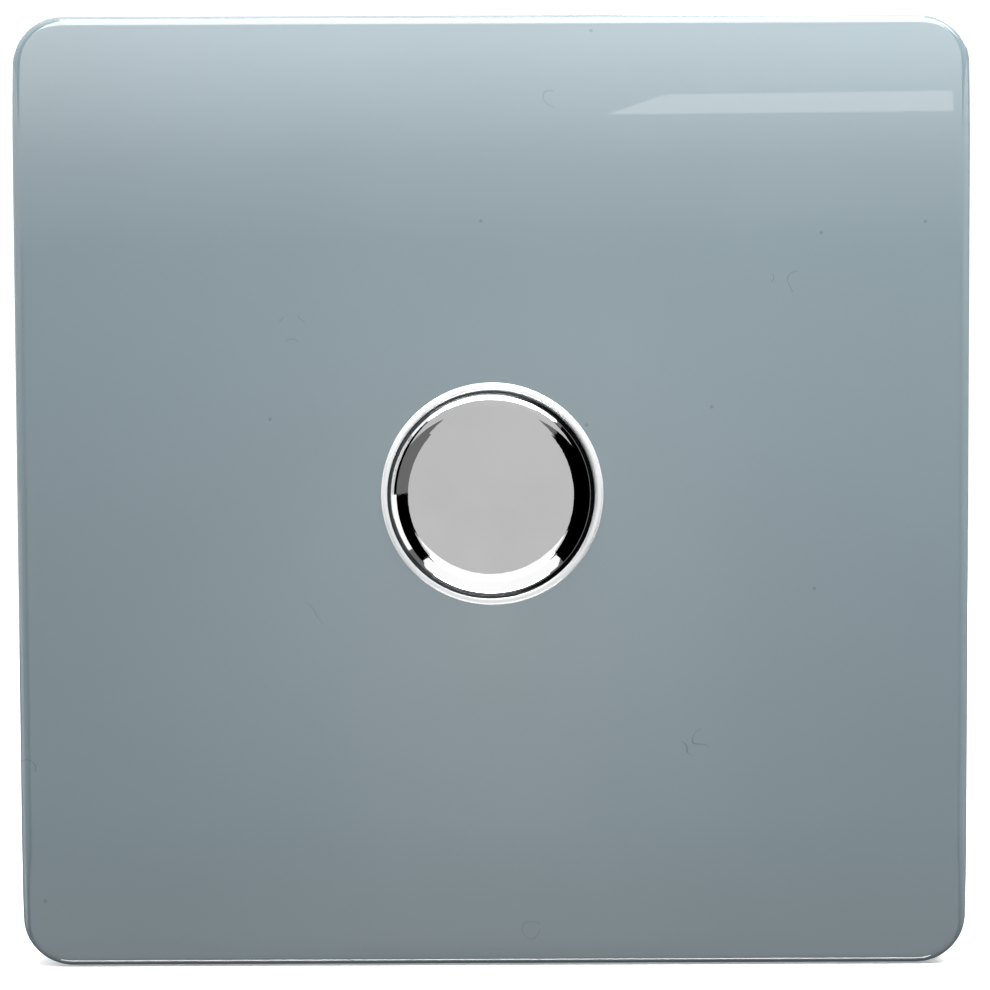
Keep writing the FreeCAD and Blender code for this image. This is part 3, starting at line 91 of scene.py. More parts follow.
def add_node(tree, kind, feeds=None, **settings):
    """Add a node: settings are its options, feeds are values or sockets for its inputs."""
    node = tree.nodes.new(kind)
    for option, value in settings.items():
        setattr(node, option, value)
    for place, value in (feeds or {}).items():
        if isinstance(value, bpy.types.NodeSocket):
            tree.links.new(value, node.inputs[place])
        else:
            node.inputs[place].default_value = value
    return node


# %% [markdown]
# ## How every finish starts
# No real surface is one flat colour. Plastic drifts in tone where it cooled unevenly, metal
# is duller where it was handled, and all of them have a grain from the mould, the press or
# the lathe. So each finish starts with two shades that drift in clouds, a roughness that
# drifts with them, and a grain in its height. The pattern is laid out in the part's own
# metres, so a feature of 2 mm asks for a scale of 500.

# %% Start a finish
finishes = {}
NOISE_LOW, NOISE_HIGH = 0.3, 0.7    # most values of a noise lie between these


def start_finish(slot, name, shades, cloud_mm, roughness, grain_mm, grain_depth_mm,
                 stretch=(1, 1, 1), **shader_values):
    """Two shades in clouds, roughness between two values, and a grain of some depth."""
    material = bpy.data.materials.new(name)
    material.use_nodes = True
    tree = material.node_tree
    shader = tree.nodes["Principled BSDF"]
    for socket, value in shader_values.items():
        shader.inputs[socket.replace("_", " ")].default_value = value
    place = add_node(tree, "ShaderNodeTexCoord").outputs["Object"]
    drawn = add_node(tree, "ShaderNodeMapping", {"Vector": place, "Scale": stretch}).outputs[0]
    clouds = add_node(tree, "ShaderNodeTexNoise", {
        "Vector": drawn, "Scale": 1 / (cloud_mm * MM), "Detail": 3.0}).outputs["Fac"]
    share = add_node(tree, "ShaderNodeMapRange", {
        "Value": clouds, "From Min": NOISE_LOW, "From Max": NOISE_HIGH}).outputs["Result"]
    tint = add_node(tree, "ShaderNodeMix", {
        0: share, 6: linear(shades[0]), 7: linear(shades[1])}, data_type="RGBA").outputs[2]
    dull = add_node(tree, "ShaderNodeMapRange", {
        "Value": share, "To Min": roughness[0], "To Max": roughness[1]}).outputs["Result"]
    grain = add_node(tree, "ShaderNodeTexNoise", {
        "Vector": drawn, "Scale": 1 / (grain_mm * MM), "Detail": 2.0}).outputs["Fac"]
    bump = add_node(tree, "ShaderNodeBump", {
        "Height": grain, "Distance": grain_depth_mm * MM, "Strength": 1.0})
    tree.links.new(tint, shader.inputs["Base Color"])
    tree.links.new(dull, shader.inputs["Roughness"])
    tree.links.new(bump.outputs["Normal"], shader.inputs["Normal"])
    finishes[slot] = material
    return tree, shader, place, tint


# %% [markdown]
# ## Gloss moulded plastic
# The cover is injection moulded ABS with a high polish from the steel of the mould. Its
# colour comes from the pigment, and the gloss is a clear reflection of about four percent.
# The polish leaves a faint ripple, too shallow to see except in a reflection.

# %% Gloss ABS of the cover plate
tree, shader, place, tint = start_finish(
    "cover_gloss", "gloss_moulded_abs", ("#7C8C93", "#7E8E95"), 14.0, (0.03, 0.045),
    4.0, 0.0002, IOR=1.48)
print("finish:", finishes["cover_gloss"].name)

# %% [markdown]
# ## Dust on the gloss
# Specks of dust and a few fibres lie on the face. A pattern of cells has a speck in the
# middle of each, and most of the cells are left out. A fibre is a contour line of a noise,
# cut short by a second pattern of wider cells. Both are laid out over the width and the
# height alone, and only the face in front of a set level carries them.

# %% Specks and fibres
DUSTY_LEVEL, DUST_COLOUR = 5.5, "#6E7B81"                                # level in mm
SPECK_CELL, SPECK_CORE, SPECK_RIM, SPECK_RARE = 10.0, 0.012, 0.02, 0.86  # cell in mm
FIBRE_WAVE, FIBRE_THIN, FIBRE_CELL, FIBRE_SHORT = 2.7, 0.009, 31.0, 0.042    # wave and cell in mm
over = add_node(tree, "ShaderNodeSeparateXYZ", {0: place}).outputs
flat = add_node(tree, "ShaderNodeCombineXYZ", {0: over[0], 1: over[2]}).outputs[0]
on_face = add_node(tree, "ShaderNodeMath", {
    0: over[1], 1: -DUSTY_LEVEL * MM}, operation="LESS_THAN").outputs[0]
specks = add_node(tree, "ShaderNodeTexVoronoi", {
    "Vector": flat, "Scale": 1 / (SPECK_CELL * MM)}, voronoi_dimensions="2D")
near_speck = add_node(tree, "ShaderNodeMapRange", {
    "Value": specks.outputs["Distance"], "From Min": SPECK_CORE, "From Max": SPECK_RIM,
    "To Min": 1.0, "To Max": 0.0}).outputs["Result"]
pick = add_node(tree, "ShaderNodeSeparateColor", {0: specks.outputs["Color"]}).outputs[0]
rare = add_node(tree, "ShaderNodeMath", {
    0: pick, 1: SPECK_RARE}, operation="GREATER_THAN").outputs[0]
dust = add_node(tree, "ShaderNodeMath", {
    0: near_speck, 1: rare}, operation="MULTIPLY").outputs[0]
curls = add_node(tree, "ShaderNodeTexNoise", {
    "Vector": flat, "Scale": 1 / (FIBRE_WAVE * MM), "Detail": 0.0},
    noise_dimensions="2D").outputs["Fac"]
thin = add_node(tree, "ShaderNodeMath", {
    0: curls, 1: 0.5, 2: FIBRE_THIN}, operation="COMPARE").outputs[0]
patch = add_node(tree, "ShaderNodeTexVoronoi", {
    "Vector": flat, "Scale": 1 / (FIBRE_CELL * MM)}, voronoi_dimensions="2D").outputs["Distance"]
short = add_node(tree, "ShaderNodeMath", {
    0: patch, 1: FIBRE_SHORT}, operation="LESS_THAN").outputs[0]
fibre = add_node(tree, "ShaderNodeMath", {
    0: thin, 1: short}, operation="MULTIPLY").outputs[0]
lying = add_node(tree, "ShaderNodeMath", {
    0: dust, 1: fibre}, operation="MAXIMUM").outputs[0]
seen_dust = add_node(tree, "ShaderNodeMath", {
    0: lying, 1: on_face}, operation="MULTIPLY").outputs[0]
dusty = add_node(tree, "ShaderNodeMix", {
    0: seen_dust, 6: tint, 7: linear(DUST_COLOUR)}, data_type="RGBA").outputs[2]
tree.links.new(dusty, shader.inputs["Base Color"])
print("nodes of the gloss with its dust:", len(tree.nodes))

# %% [markdown]
# ## Bright chrome plate
# The knob is a plastic moulding with nickel and chromium plated over it. What the eye sees
# is the room, a little darker than it is, with a faint waver where the plating followed the
# plastic. A metal's colour is its reflection, so the base colour does all the work. The
# ring has pearl chrome, a matt plate: it scatters the light so evenly that part of it is
# given as plain scatter, by a metallic value below one.

# %% Chrome of the knob, and the softer chrome of the ring
start_finish("bright_chrome", "bright_chrome_plate", ("#C2C2C3", "#C6C6C6"), 6.0,
             (0.02, 0.05), 0.8, 0.006, Metallic=1.0)
start_finish("ring_chrome", "pearl_chrome_ring", ("#F0F2F3", "#F6F7F7"), 3.0, (0.36, 0.42),
             0.8, 0.0015, Metallic=0.4)
print("finishes:", finishes["bright_chrome"].name, finishes["ring_chrome"].name)

# %% [markdown]
# ## Steels and brass
# The yoke is pressed from zinc-plated strip: the plating grows in crystals, seen as faint
# spangle. The screws are steel with a brighter zinc. Brass and bronze are bare, and so have
# brown clouds of tarnish. All are metals, and differ in colour, clouds and grain.

# %% Zinc, screw steel, brass, bronze, spring steel and aluminium
SPANGLE_MM, SPANGLE_BRIGHT, SPANGLE_DULL = 1.1, 0.36, 0.44    # crystal width, roughnesses
tree, shader, place, tint = start_finish(
    "zinc_steel", "zinc_plated_strip", ("#B4B8B8", "#C6C9C7"), 9.0, (0.34, 0.42),
    0.5, 0.003, Metallic=1.0)
crystals = add_node(tree, "ShaderNodeTexVoronoi", {
    "Vector": place, "Scale": 1 / (SPANGLE_MM * MM)})
flash = add_node(tree, "ShaderNodeSeparateColor", {0: crystals.outputs["Color"]}).outputs[0]
spangle = add_node(tree, "ShaderNodeMapRange", {
    "Value": flash, "To Min": SPANGLE_BRIGHT, "To Max": SPANGLE_DULL}).outputs["Result"]
tree.links.new(spangle, shader.inputs["Roughness"])
start_finish("screw_steel", "bright_zinc_screw_steel", ("#A9ACAB", "#C4C6C4"), 1.6,
             (0.22, 0.36), 0.35, 0.003, Metallic=1.0)
start_finish("brass", "turned_brass", ("#A8853F", "#C7A45C"), 3.5, (0.2, 0.36),
             0.3, 0.0025, stretch=(1, 4, 1), Metallic=1.0)
start_finish("spring_bronze", "rolled_spring_bronze", ("#A8714A", "#BF8A5E"), 3.0,
             (0.24, 0.4), 0.3, 0.002, stretch=(1, 1, 6), Metallic=1.0)
start_finish("spring_steel", "blued_spring_steel", ("#5E6265", "#7A7E80"), 2.0,
             (0.2, 0.34), 0.3, 0.002, Metallic=1.0)
start_finish("aluminium", "rolled_aluminium_sheet", ("#B3B6B8", "#C8CACB"), 6.0,
             (0.26, 0.4), 0.4, 0.004, stretch=(1, 6, 6), Metallic=1.0)
start_finish("tinned_copper", "tin_dipped_copper", ("#A7AAA9", "#C9CBC8"), 1.0,
             (0.16, 0.4), 0.5, 0.01, Metallic=1.0)
start_finish("copper_wire", "enamelled_copper_wire", ("#9A4D28", "#B8673A"), 2.0,
             (0.2, 0.32), 0.5, 0.004, Metallic=1.0)
print("metal finishes so far:", len(finishes))

# %% [markdown]
# ## Moulded and filled plastics
# The case is glass-filled nylon or polyester from a mould with a spark-eroded texture: a
# matt, slightly pitted skin. The switch housing, the cam parts and the component bodies are
# plainer. Each keeps the index of its resin and differs in grain. The board shows the cloth
# in its resin, as squares a little wider than the real weave, so that they can be seen.

# %% Case, switch, nylon, phenolic, epoxy and the component bodies
start_finish("case_plastic", "spark_textured_polyester", ("#26282A", "#303335"), 9.0,
             (0.42, 0.55), 0.28, 0.02, IOR=1.54)
start_finish("switch_plastic", "ivory_switch_moulding", ("#D9D3C2", "#E3DED0"), 4.0,
             (0.32, 0.42), 0.25, 0.006, IOR=1.52)
start_finish("nylon", "natural_nylon", ("#E4E0D2", "#EDEAE0"), 3.0, (0.3, 0.4),
             0.5, 0.005, IOR=1.53, Subsurface_Weight=0.15, Subsurface_Scale=0.0012)
start_finish("phenolic", "phenolic_paper_board", ("#4A2F1C", "#5E3E26"), 2.5, (0.4, 0.55),
             0.3, 0.006, stretch=(4, 1, 1), IOR=1.6)
start_finish("black_epoxy", "moulded_epoxy", ("#1B1C1D", "#252627"), 2.0, (0.38, 0.52),
             0.2, 0.01, IOR=1.57)
start_finish("iron_powder", "painted_iron_powder", ("#C9B32C", "#D8C541"), 2.0,
             (0.35, 0.5), 0.3, 0.02, IOR=1.5)
start_finish("yellow_plastic", "yellow_film_capacitor_box", ("#D6A51E", "#E2B530"), 3.0,
             (0.28, 0.4), 0.3, 0.005, IOR=1.5)
start_finish("can_sleeve", "shrunk_pvc_sleeve", ("#1D2C4A", "#27395C"), 3.0, (0.24, 0.36),
             0.6, 0.006, IOR=1.53)
CLOTH_MM, CLOTH_SHARE = 0.5, 0.25
tree, shader, place, tint = start_finish(
    "glass_fibre", "glass_fibre_board", ("#1E5A38", "#2A6B45"), 6.0, (0.22, 0.34),
    0.4, 0.004, IOR=1.55)
cloth_weave_and_painted_shade = add_node(tree, "ShaderNodeTexChecker", {"Vector": place, "Scale": 1 / (CLOTH_MM * MM)})
lift = add_node(tree, "ShaderNodeMath", {
    0: cloth_weave_and_painted_shade.outputs["Fac"], 1: CLOTH_SHARE}, operation="MULTIPLY").outputs[0]
cloth = add_node(tree, "ShaderNodeMix", {
    0: lift, 6: tint, 7: linear("#3C8058")}, data_type="RGBA").outputs[2]
tree.links.new(cloth, shader.inputs["Base Color"])
print("finishes in all:", len(finishes))

# %% [markdown]
# ## Give the frame's parts their finishes
# The record says which slot each part belongs to, so one loop dresses all the parts that
# keep the frame's own shape. The frame already rounds what a mould or a press rounds.

# %% Dress the frame's own shapes
for row in frame["record"]["subparts"]:
    for place_in_node in nodes[row["node"]].material_slots:
        place_in_node.material = finishes[row["material_slot"]]

# %% [markdown]
# ## Building finer skins
# A mirror shows every facet, so the plate, the knob and the ring are built as rings of
# points joined into a skin. Each ring has as many points as the next, and the skin closes
# on itself. Edges sharper than a set angle stay crisp, and everything else is smooth.

# %% Rings, skins and pieces
def join_rings(skin, rings, closed):
    """Join rings of points, or single points at the ends, with faces."""
    rows = [[skin.verts.new(point) for point in ring] for ring in rings]
    pairs = list(zip(rows, rows[1:])) + ([(rows[-1], rows[0])] if closed else [])
    for lower, upper in pairs:
        count = max(len(lower), len(upper))
        for step in range(count):
            following = (step + 1) % count
            corners = [lower[step % len(lower)], lower[following % len(lower)],
                       upper[following % len(upper)], upper[step % len(upper)]]
            skin.faces.new(list(dict.fromkeys(corners)))
    return rows


def make_piece(name, skin, body, finish, sharp_degrees=35):
    """Turn a skin into a piece with a finish, which rides on a body if one is named."""
    bmesh.ops.recalc_face_normals(skin, faces=skin.faces)
    mesh = bpy.data.meshes.new(name)
    skin.to_mesh(mesh)
    skin.free()
    mesh.shade_smooth()
    mesh.set_sharp_from_angle(angle=math.radians(sharp_degrees))
    mesh.materials.append(finishes[finish])
    piece = bpy.data.objects.new(name, mesh)
    bpy.context.scene.collection.objects.link(piece)
    if body:
        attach(piece, body)
    return piece


def rework(piece, blocks, operation, sharp_degrees=35):
    """Join a piece with closed blocks, or cut them out of it, and keep the result."""
    mesh = bpy.data.meshes.new("blocks")
    blocks.to_mesh(mesh)
    blocks.free()
    tool = bpy.data.objects.new("blocks", mesh)
    bpy.context.scene.collection.objects.link(tool)
    step = piece.modifiers.new("blocks", "BOOLEAN")
    step.object, step.operation, step.solver, step.use_self = tool, operation, "EXACT", True
    bpy.context.view_layer.update()
    shape = piece.evaluated_get(bpy.context.evaluated_depsgraph_get())
    done = bpy.data.meshes.new_from_object(shape)
    piece.modifiers.clear()
    bpy.data.objects.remove(tool)
    done.name = piece.name
    done.shade_smooth()
    done.set_sharp_from_angle(angle=math.radians(sharp_degrees))
    piece.data = done
    print(piece.name, operation.lower(), "->", len(done.polygons), "faces")


def block(skin, low, high, turn=None):
    """Add a closed box between two corners in mm, turned about the knob's axis if asked."""
    low, high = Vector(low) * MM, Vector(high) * MM
    corners = bmesh.ops.create_cube(skin, size=1.0)["verts"]
    for corner in corners:
        spread = Vector(part * side for part, side in zip(corner.co, high - low))
        corner.co = (low + high) / 2 + spread
        if turn:
            corner.co = Matrix.Rotation(turn, 3, "Y") @ corner.co


# %% [markdown]
# ## The cover plate
# The real cover is one moulding: a shell 87 mm square whose face is flat for 60 mm and then
# falls in shallow arcs to its top and bottom edges. The arcs are what makes the light slide
# down the face. The skin runs from the hole's rim out over the face, round the edge, down
# the side and back along the inside. Hooks and ribs are joined inside it.

# %% Sizes of the cover plate, in mm
HALF, CORNER, EDGE, WALL = 43.5, 4.5, 0.85, 1.8    # half the width, two radii, the wall
FACE, FLAT, FALL = 7.0, 30.0, 1.15                 # level, half the flat part, fall
ARC = ((HALF - FLAT) ** 2 + FALL ** 2) / (2 * FALL)
HOLE, SEAT, SEAT_FOOT, BACK_BEVEL = 9.85, 11.45, 3.2, 0.15
SIDE_STEPS, CORNER_STEPS, EDGE_STEPS = 64, 20, 10
FACE_RINGS, FACE_CROWDING, INNER_RINGS, INNER_CROWDING = 40, 1.25, 20, 1.1
print("radius of the arcs in mm:", round(ARC, 1))

# %% Fall of the face, and outline of the plate
def fall_and_slope(up, radius):
    """How far the face has fallen at a height, and how steep it is there."""
    past = max(abs(up) - FLAT, 0.0)
    fall = radius - math.sqrt(radius ** 2 - past ** 2)
    return fall, math.copysign(past / (radius - fall), up)


def plate_outline():
    """Points inside the corners, with the direction outwards at each."""
    turns = []
    straight = HALF - CORNER
    for quarter in range(4):
        turn = Matrix.Rotation(quarter * math.pi / 2, 2)
        for step in range(SIDE_STEPS):
            along = straight * (2 * step / SIDE_STEPS - 1)
            turns.append((turn @ Vector((straight, along)), turn @ Vector((1, 0))))
        for step in range(CORNER_STEPS):
            angle = math.pi / 2 * step / CORNER_STEPS
            turns.append((turn @ Vector((straight, straight)),
                          turn @ Vector((math.cos(angle), math.sin(angle)))))
    return turns


# %% Skin of the cover plate
def plate_rings():
    """All rings of the plate's skin, from the hole over the face and back inside."""
    outline = plate_outline()
    angles = [math.atan2(*(base + CORNER * out).yx) for base, out in outline]

    def circle(radius, height):
        return [Vector((radius * math.cos(angle), -height, radius * math.sin(angle))) * MM
                for angle in angles]

    def wall(inset, height):
        return [Vector((p.x, -height, p.y)) * MM
                for p in (base + (CORNER - inset) * out for base, out in outline)]

    def sheet(start, end, steps, top, radius, crowding):
        rings = []
        for step in range(1, steps):
            share = (step / steps) ** crowding
            ring = []
            for first, last in zip(start, end):
                point = first.lerp(last, share)
                point.y = -(top - fall_and_slope(point.z / MM, radius)[0]) * MM
                ring.append(point)
            rings.append(ring)
        return rings

    contact, arcs = [], [[] for _ in range(EDGE_STEPS)]
    for base, out in outline:
        tilt = 0.0
        for _ in range(3):
            point = base + (CORNER - EDGE * (1 - math.sin(tilt))) * out
            fall, slope = fall_and_slope(point.y, ARC)
            tilt = math.atan(max(slope * out.y, 0.0))
        height = FACE - fall - EDGE * math.cos(tilt)
        contact.append(Vector((point.x, -(FACE - fall), point.y)) * MM)
        for step, ring in enumerate(arcs, 1):
            angle = (math.pi / 2 - tilt) * (1 - step / len(arcs))
            spot = base + (CORNER - EDGE * (1 - math.cos(angle))) * out
            ring.append(Vector((spot.x, -(height + EDGE * math.sin(angle)), spot.y)) * MM)
    ceiling = [Vector((p.x, -(FACE - WALL - fall_and_slope(p.z / MM, ARC - WALL)[0]) * MM, p.z))
               for p in wall(WALL, 0)]
    front, seat_top = circle(HOLE, FACE), circle(SEAT, FACE - WALL)
    faces = sheet(contact, front, FACE_RINGS, FACE, ARC, FACE_CROWDING)[::-1]
    inside = sheet(ceiling, seat_top, INNER_RINGS, FACE - WALL, ARC - WALL, INNER_CROWDING)
    rim = [wall(0, 3.0), wall(0, BACK_BEVEL), wall(BACK_BEVEL, 0), wall(WALL - BACK_BEVEL, 0),
           wall(WALL, BACK_BEVEL)]
    return ([front] + faces + [contact] + arcs + rim + [ceiling] + inside
            + [seat_top, circle(SEAT, SEAT_FOOT), circle(HOLE, SEAT_FOOT)])


skin = bmesh.new()
join_rings(skin, plate_rings(), closed=True)
plate = make_piece("front_plate_skin", skin, "fixed", "cover_gloss", 28)
print("faces of the plate's skin:", len(plate.data.polygons))

# %% Ribs and hooks
RIB_FOOT, RIB_ROOT, RIB_PLACE, RIB_HALF, RIB_ACROSS, RIB_UP = 3.6, 6.1, 15, 0.6, 36.2, 30
inner_parts = bmesh.new()
for rib in (RIB_PLACE, -RIB_PLACE):
    block(inner_parts, (-RIB_ACROSS, -RIB_ROOT, rib - RIB_HALF),
          (RIB_ACROSS, -RIB_FOOT, rib + RIB_HALF))
    block(inner_parts, (rib - RIB_HALF, -RIB_ROOT, -RIB_UP),
          (rib + RIB_HALF, -RIB_FOOT, RIB_UP))
HOOK_PLACE, HOOK_HALF = 22, 3
HOOK_SIDE = [(4.95, 39.3), (4.95, 40.7), (1.05, 40.7), (1.05, 39.6), (1.65, 38.4),
             (2.55, 38.4), (2.7, 39.3)]    # level and distance from the middle, in mm
for across in (HOOK_PLACE, -HOOK_PLACE):
    for side in (1, -1):
        ends = [[Vector((across + end, -height, side * up)) * MM for height, up in HOOK_SIDE]
                for end in (-HOOK_HALF, HOOK_HALF)]
        rows = [[inner_parts.verts.new(point) for point in end] for end in ends]
        for row in rows:
            inner_parts.faces.new(row)
        for step, first in enumerate(rows[0]):
            after = (step + 1) % len(HOOK_SIDE)
            inner_parts.faces.new([first, rows[0][after], rows[1][after], rows[1][step]])
bmesh.ops.recalc_face_normals(inner_parts, faces=inner_parts.faces)
rework(plate, inner_parts, "UNION", 28)

# %% Notch for a screwdriver
NOTCH_HALF, NOTCH_DEEP, OVERCUT = 5, 1.2, 0.36
notch = bmesh.new()
block(notch, (-NOTCH_HALF, -NOTCH_DEEP, -HALF - OVERCUT),
      (NOTCH_HALF, 1.0, -HALF + WALL + OVERCUT))
rework(plate, notch, "DIFFERENCE", 28)
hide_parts("front_plate")

# %% [markdown]
# ## The ring and the knob
# Both are round, so each is one side view turned about the axis. The ring is a thin collar
# with a rounded lip. The knob is a cup with a generous shoulder, a hub for the spindle and
# six ribs. A turned skin of 256 steps reflects as cleanly as plated plastic does.

# %% Turn a side view about the knob's axis
def arc(centre, radius, start, end, steps=10):
    """Points of an arc in a side view: distance from the axis and height."""
    return [(centre[0] + radius * math.cos(math.radians(start + (end - start) * step / steps)),
             centre[1] + radius * math.sin(math.radians(start + (end - start) * step / steps)))
            for step in range(steps + 1)]


def turned_skin(side_view, closed, axis=(0, 0), steps=256):
    """A skin turned about an axis that runs from front to back."""
    rings = []
    for radius, height in side_view:
        count = steps if radius > 0 else 1
        rings.append([Vector((axis[0] + radius * math.cos(math.tau * step / steps), -height,
                              axis[1] + radius * math.sin(math.tau * step / steps))) * MM
                      for step in range(count)])
    skin = bmesh.new()
    join_rings(skin, rings, closed)
    return skin


# %% Bezel ring
# Radii and levels in mm. A level is the height above the wall, towards the eye.
LIP, RING_BORE, RING_NECK, RING_OUTER, RING_FOOT, RING_TOP = 0.3, 9.35, 9.75, 10.1, 4.2, 7.95
ring_view = ([(RING_BORE, RING_FOOT), (RING_NECK, RING_FOOT), (RING_NECK, FACE),
              (RING_OUTER, FACE)]
             + arc((RING_OUTER - LIP, RING_TOP - LIP), LIP, 0, 90)
             + arc((RING_BORE + LIP, RING_TOP - LIP), LIP, 90, 180))
ring = make_piece("bezel_ring_skin", turned_skin(ring_view, True), "fixed",
                  "ring_chrome", 40)
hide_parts("bezel_ring")
print("faces of the ring:", len(ring.data.polygons))

# %% Side view of the knob
# The shoulder is part of an ellipse, ROUND wide and SHOULDER deep. All sizes are in mm.
KNOB_FRONT, SHOULDER, ROUND, ROUND_STEPS, FLAT_STEP = 17.5, 1.85, 2.35, 24, 0.8
KNOB_OUTER, SKIRT, KNOB_BACK, KNOB_EDGE = 9.05, 9.15, 5.7, 0.15
CUP, CUP_FLOOR, HUB, HUB_BACK, BORE, HUB_BEVEL = 7.65, 15.5, 5.0, 7.2, 3.05, 0.15
flat_front = [(FLAT_STEP * step, KNOB_FRONT) for step in range(9)]
turns = [math.pi / 2 * step / ROUND_STEPS for step in range(ROUND_STEPS + 1)]
shoulder = [(KNOB_OUTER - ROUND + ROUND * math.sin(turn),
             KNOB_FRONT - SHOULDER + SHOULDER * math.cos(turn)) for turn in turns]
skirt = (arc((SKIRT - KNOB_EDGE, KNOB_BACK + KNOB_EDGE), KNOB_EDGE, 0, -90, 4)
         + arc((CUP + KNOB_EDGE, KNOB_BACK + KNOB_EDGE), KNOB_EDGE, -90, -180, 4))
cup_and_hub = [(CUP, CUP_FLOOR - 0.3), (CUP - 0.3, CUP_FLOOR), (HUB + 0.2, CUP_FLOOR),
               (HUB, CUP_FLOOR - 0.2), (HUB, HUB_BACK + HUB_BEVEL), (HUB - HUB_BEVEL, HUB_BACK),
               (BORE + HUB_BEVEL, HUB_BACK), (BORE, HUB_BACK + HUB_BEVEL), (BORE, CUP_FLOOR),
               (0, CUP_FLOOR)]
knob_view = flat_front + shoulder + skirt + cup_and_hub
print("points in the knob's side view:", len(knob_view))

# %% Knob with the flat in its bore and its six ribs
# Widths, and distances from the axis and from the wall, in mm.
RIBS, RIB_WIDE, RIB_INNER, RIB_OUTER, RIB_BACK, RIB_DEEP = 6, 0.9, 4.25, 8.4, 11.5, 16.5
FLAT_WIDE, FLAT_PLACE, FLAT_OUTER = 5.4, 1.95, 4.0
knob = make_piece("knob_skin", turned_skin(knob_view, False), "control",
                  "bright_chrome", 30)
knob_ribs = bmesh.new()
block(knob_ribs, (-FLAT_WIDE / 2, -RIB_DEEP, FLAT_PLACE), (FLAT_WIDE / 2, -HUB_BACK, FLAT_OUTER))
for number in range(RIBS):
    block(knob_ribs, (-RIB_WIDE / 2, -RIB_DEEP, -RIB_OUTER),
          (RIB_WIDE / 2, -RIB_BACK, -RIB_INNER), math.tau * number / RIBS)
rework(knob, knob_ribs, "UNION", 30)
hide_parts("knob")

# %% [markdown]
# ## Screws with a rolled thread
# A machine screw's thread is rolled in: a 60 degree ridge that climbs 0.6 mm in each turn.
# The skin of the shank is a sheet whose rows climb with the thread, so that after one turn
# each row meets the row that lies one thread further on. The head is turned, and its cross
# or slot is cut out.

# %% A skin with a thread
THREAD_DEPTH = 0.613                                             # of the pitch
THREAD = [(0.0, 0.0), (0.125, 0.0), (0.5, 1.0), (0.75, 1.0)]     # share of a turn, cut


def threaded_skin(head_view, foot_view, pitch, steps=40):
    """A screw: a head by its side view, a thread, and an end by its side view."""
    radius, top = head_view[-1]
    turns = int((top - foot_view[0][1]) / pitch) - 1
    last, skin, made = len(THREAD) * turns, bmesh.new(), {}

    def point(step, from_axis, height):
        angle = -math.tau * step / steps
        return Vector((from_axis * math.cos(angle), -height, from_axis * math.sin(angle))) * MM

    def on_thread(step, row):
        if step == steps:
            step, row = 0, row + len(THREAD)
        if (step, row) not in made:
            along, cut = THREAD[row % len(THREAD)]
            turned = row // len(THREAD) + along + step / steps
            share = min(max(min(turned - 1, turns - turned), 0), 1)
            deep = share * cut * THREAD_DEPTH * pitch
            made[step, row] = skin.verts.new(point(step, radius - deep, top - pitch * turned))
        return made[step, row]

    def turned_end(view):
        rings = [[point(step, *spot) for step in range(steps if spot[0] else 1)]
                 for spot in view]
        return join_rings(skin, rings, closed=False)

    head, foot = turned_end(head_view)[-1], turned_end(foot_view)[0]
    for step in range(steps):
        for row in range(last):
            skin.faces.new([on_thread(step, row), on_thread(step + 1, row),
                            on_thread(step + 1, row + 1), on_thread(step, row + 1)])
    seam_top = [on_thread(0, row) for row in range(len(THREAD) + 1)]
    seam_foot = [on_thread(0, row) for row in range(last + len(THREAD), last, -1)]
    for step in range(steps):
        after = (step + 1) % steps
        upper = seam_top if after == 0 else [on_thread(after, 0)]
        skin.faces.new([head[step], head[after]] + upper + [on_thread(step, 0)])
        lower = seam_foot if step == 0 else []
        skin.faces.new([on_thread(step, last), on_thread(step + 1, last), foot[after], foot[step]]
                       + lower)
    return skin


# %% Two fixing screws
# Radii, levels and widths in mm. FIXING is half the distance between the two screws.
FIXING, PITCH, SHANK, SHANK_END, POINT = 30.15, 0.6, 1.75, 1.35, 0.45
PAN, PAN_TOP, PAN_ROUND, PAN_FOOT, CENTRE, NECK = 3.5, 3.4, 0.88, 1.2, 1.3, 1.45
SCREW_FOOT, CROSS_HALF, CROSS_WIDE, CROSS_FLOOR = -23.8, 1.8, 0.9, 2.2
pan_view = ([(0, PAN_TOP), (CENTRE, PAN_TOP)]
            + arc((PAN - PAN_ROUND, PAN_TOP - PAN_ROUND), PAN_ROUND, 90, 0, 8)
            + [(PAN, PAN_FOOT + 0.15), (PAN - 0.15, PAN_FOOT), (NECK, PAN_FOOT), (NECK, -0.1),
               (SHANK - 0.13, -0.1), (SHANK, -0.23)])
screw_end = [(SHANK, SCREW_FOOT + POINT), (SHANK_END, SCREW_FOOT), (0, SCREW_FOOT)]
screw = make_piece("fixing_screws_skin", threaded_skin(pan_view, screw_end, PITCH), "fixed",
                   "screw_steel")
cross = bmesh.new()
block(cross, (-CROSS_HALF, -PAN_TOP - 0.2, -CROSS_WIDE / 2),
      (CROSS_HALF, -CROSS_FLOOR, CROSS_WIDE / 2))
block(cross, (-CROSS_WIDE / 2, -PAN_TOP - 0.2, -CROSS_HALF),
      (CROSS_WIDE / 2, -CROSS_FLOOR, CROSS_HALF))
rework(screw, cross, "DIFFERENCE")
pair = bmesh.new()
for across in (FIXING, -FIXING):
    one = screw.data.copy()
    one.transform(Matrix.Translation((across * MM, 0, 0)))
    pair.from_mesh(one)
    bpy.data.meshes.remove(one)
pair.to_mesh(screw.data)
pair.free()
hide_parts("fixing_screws")

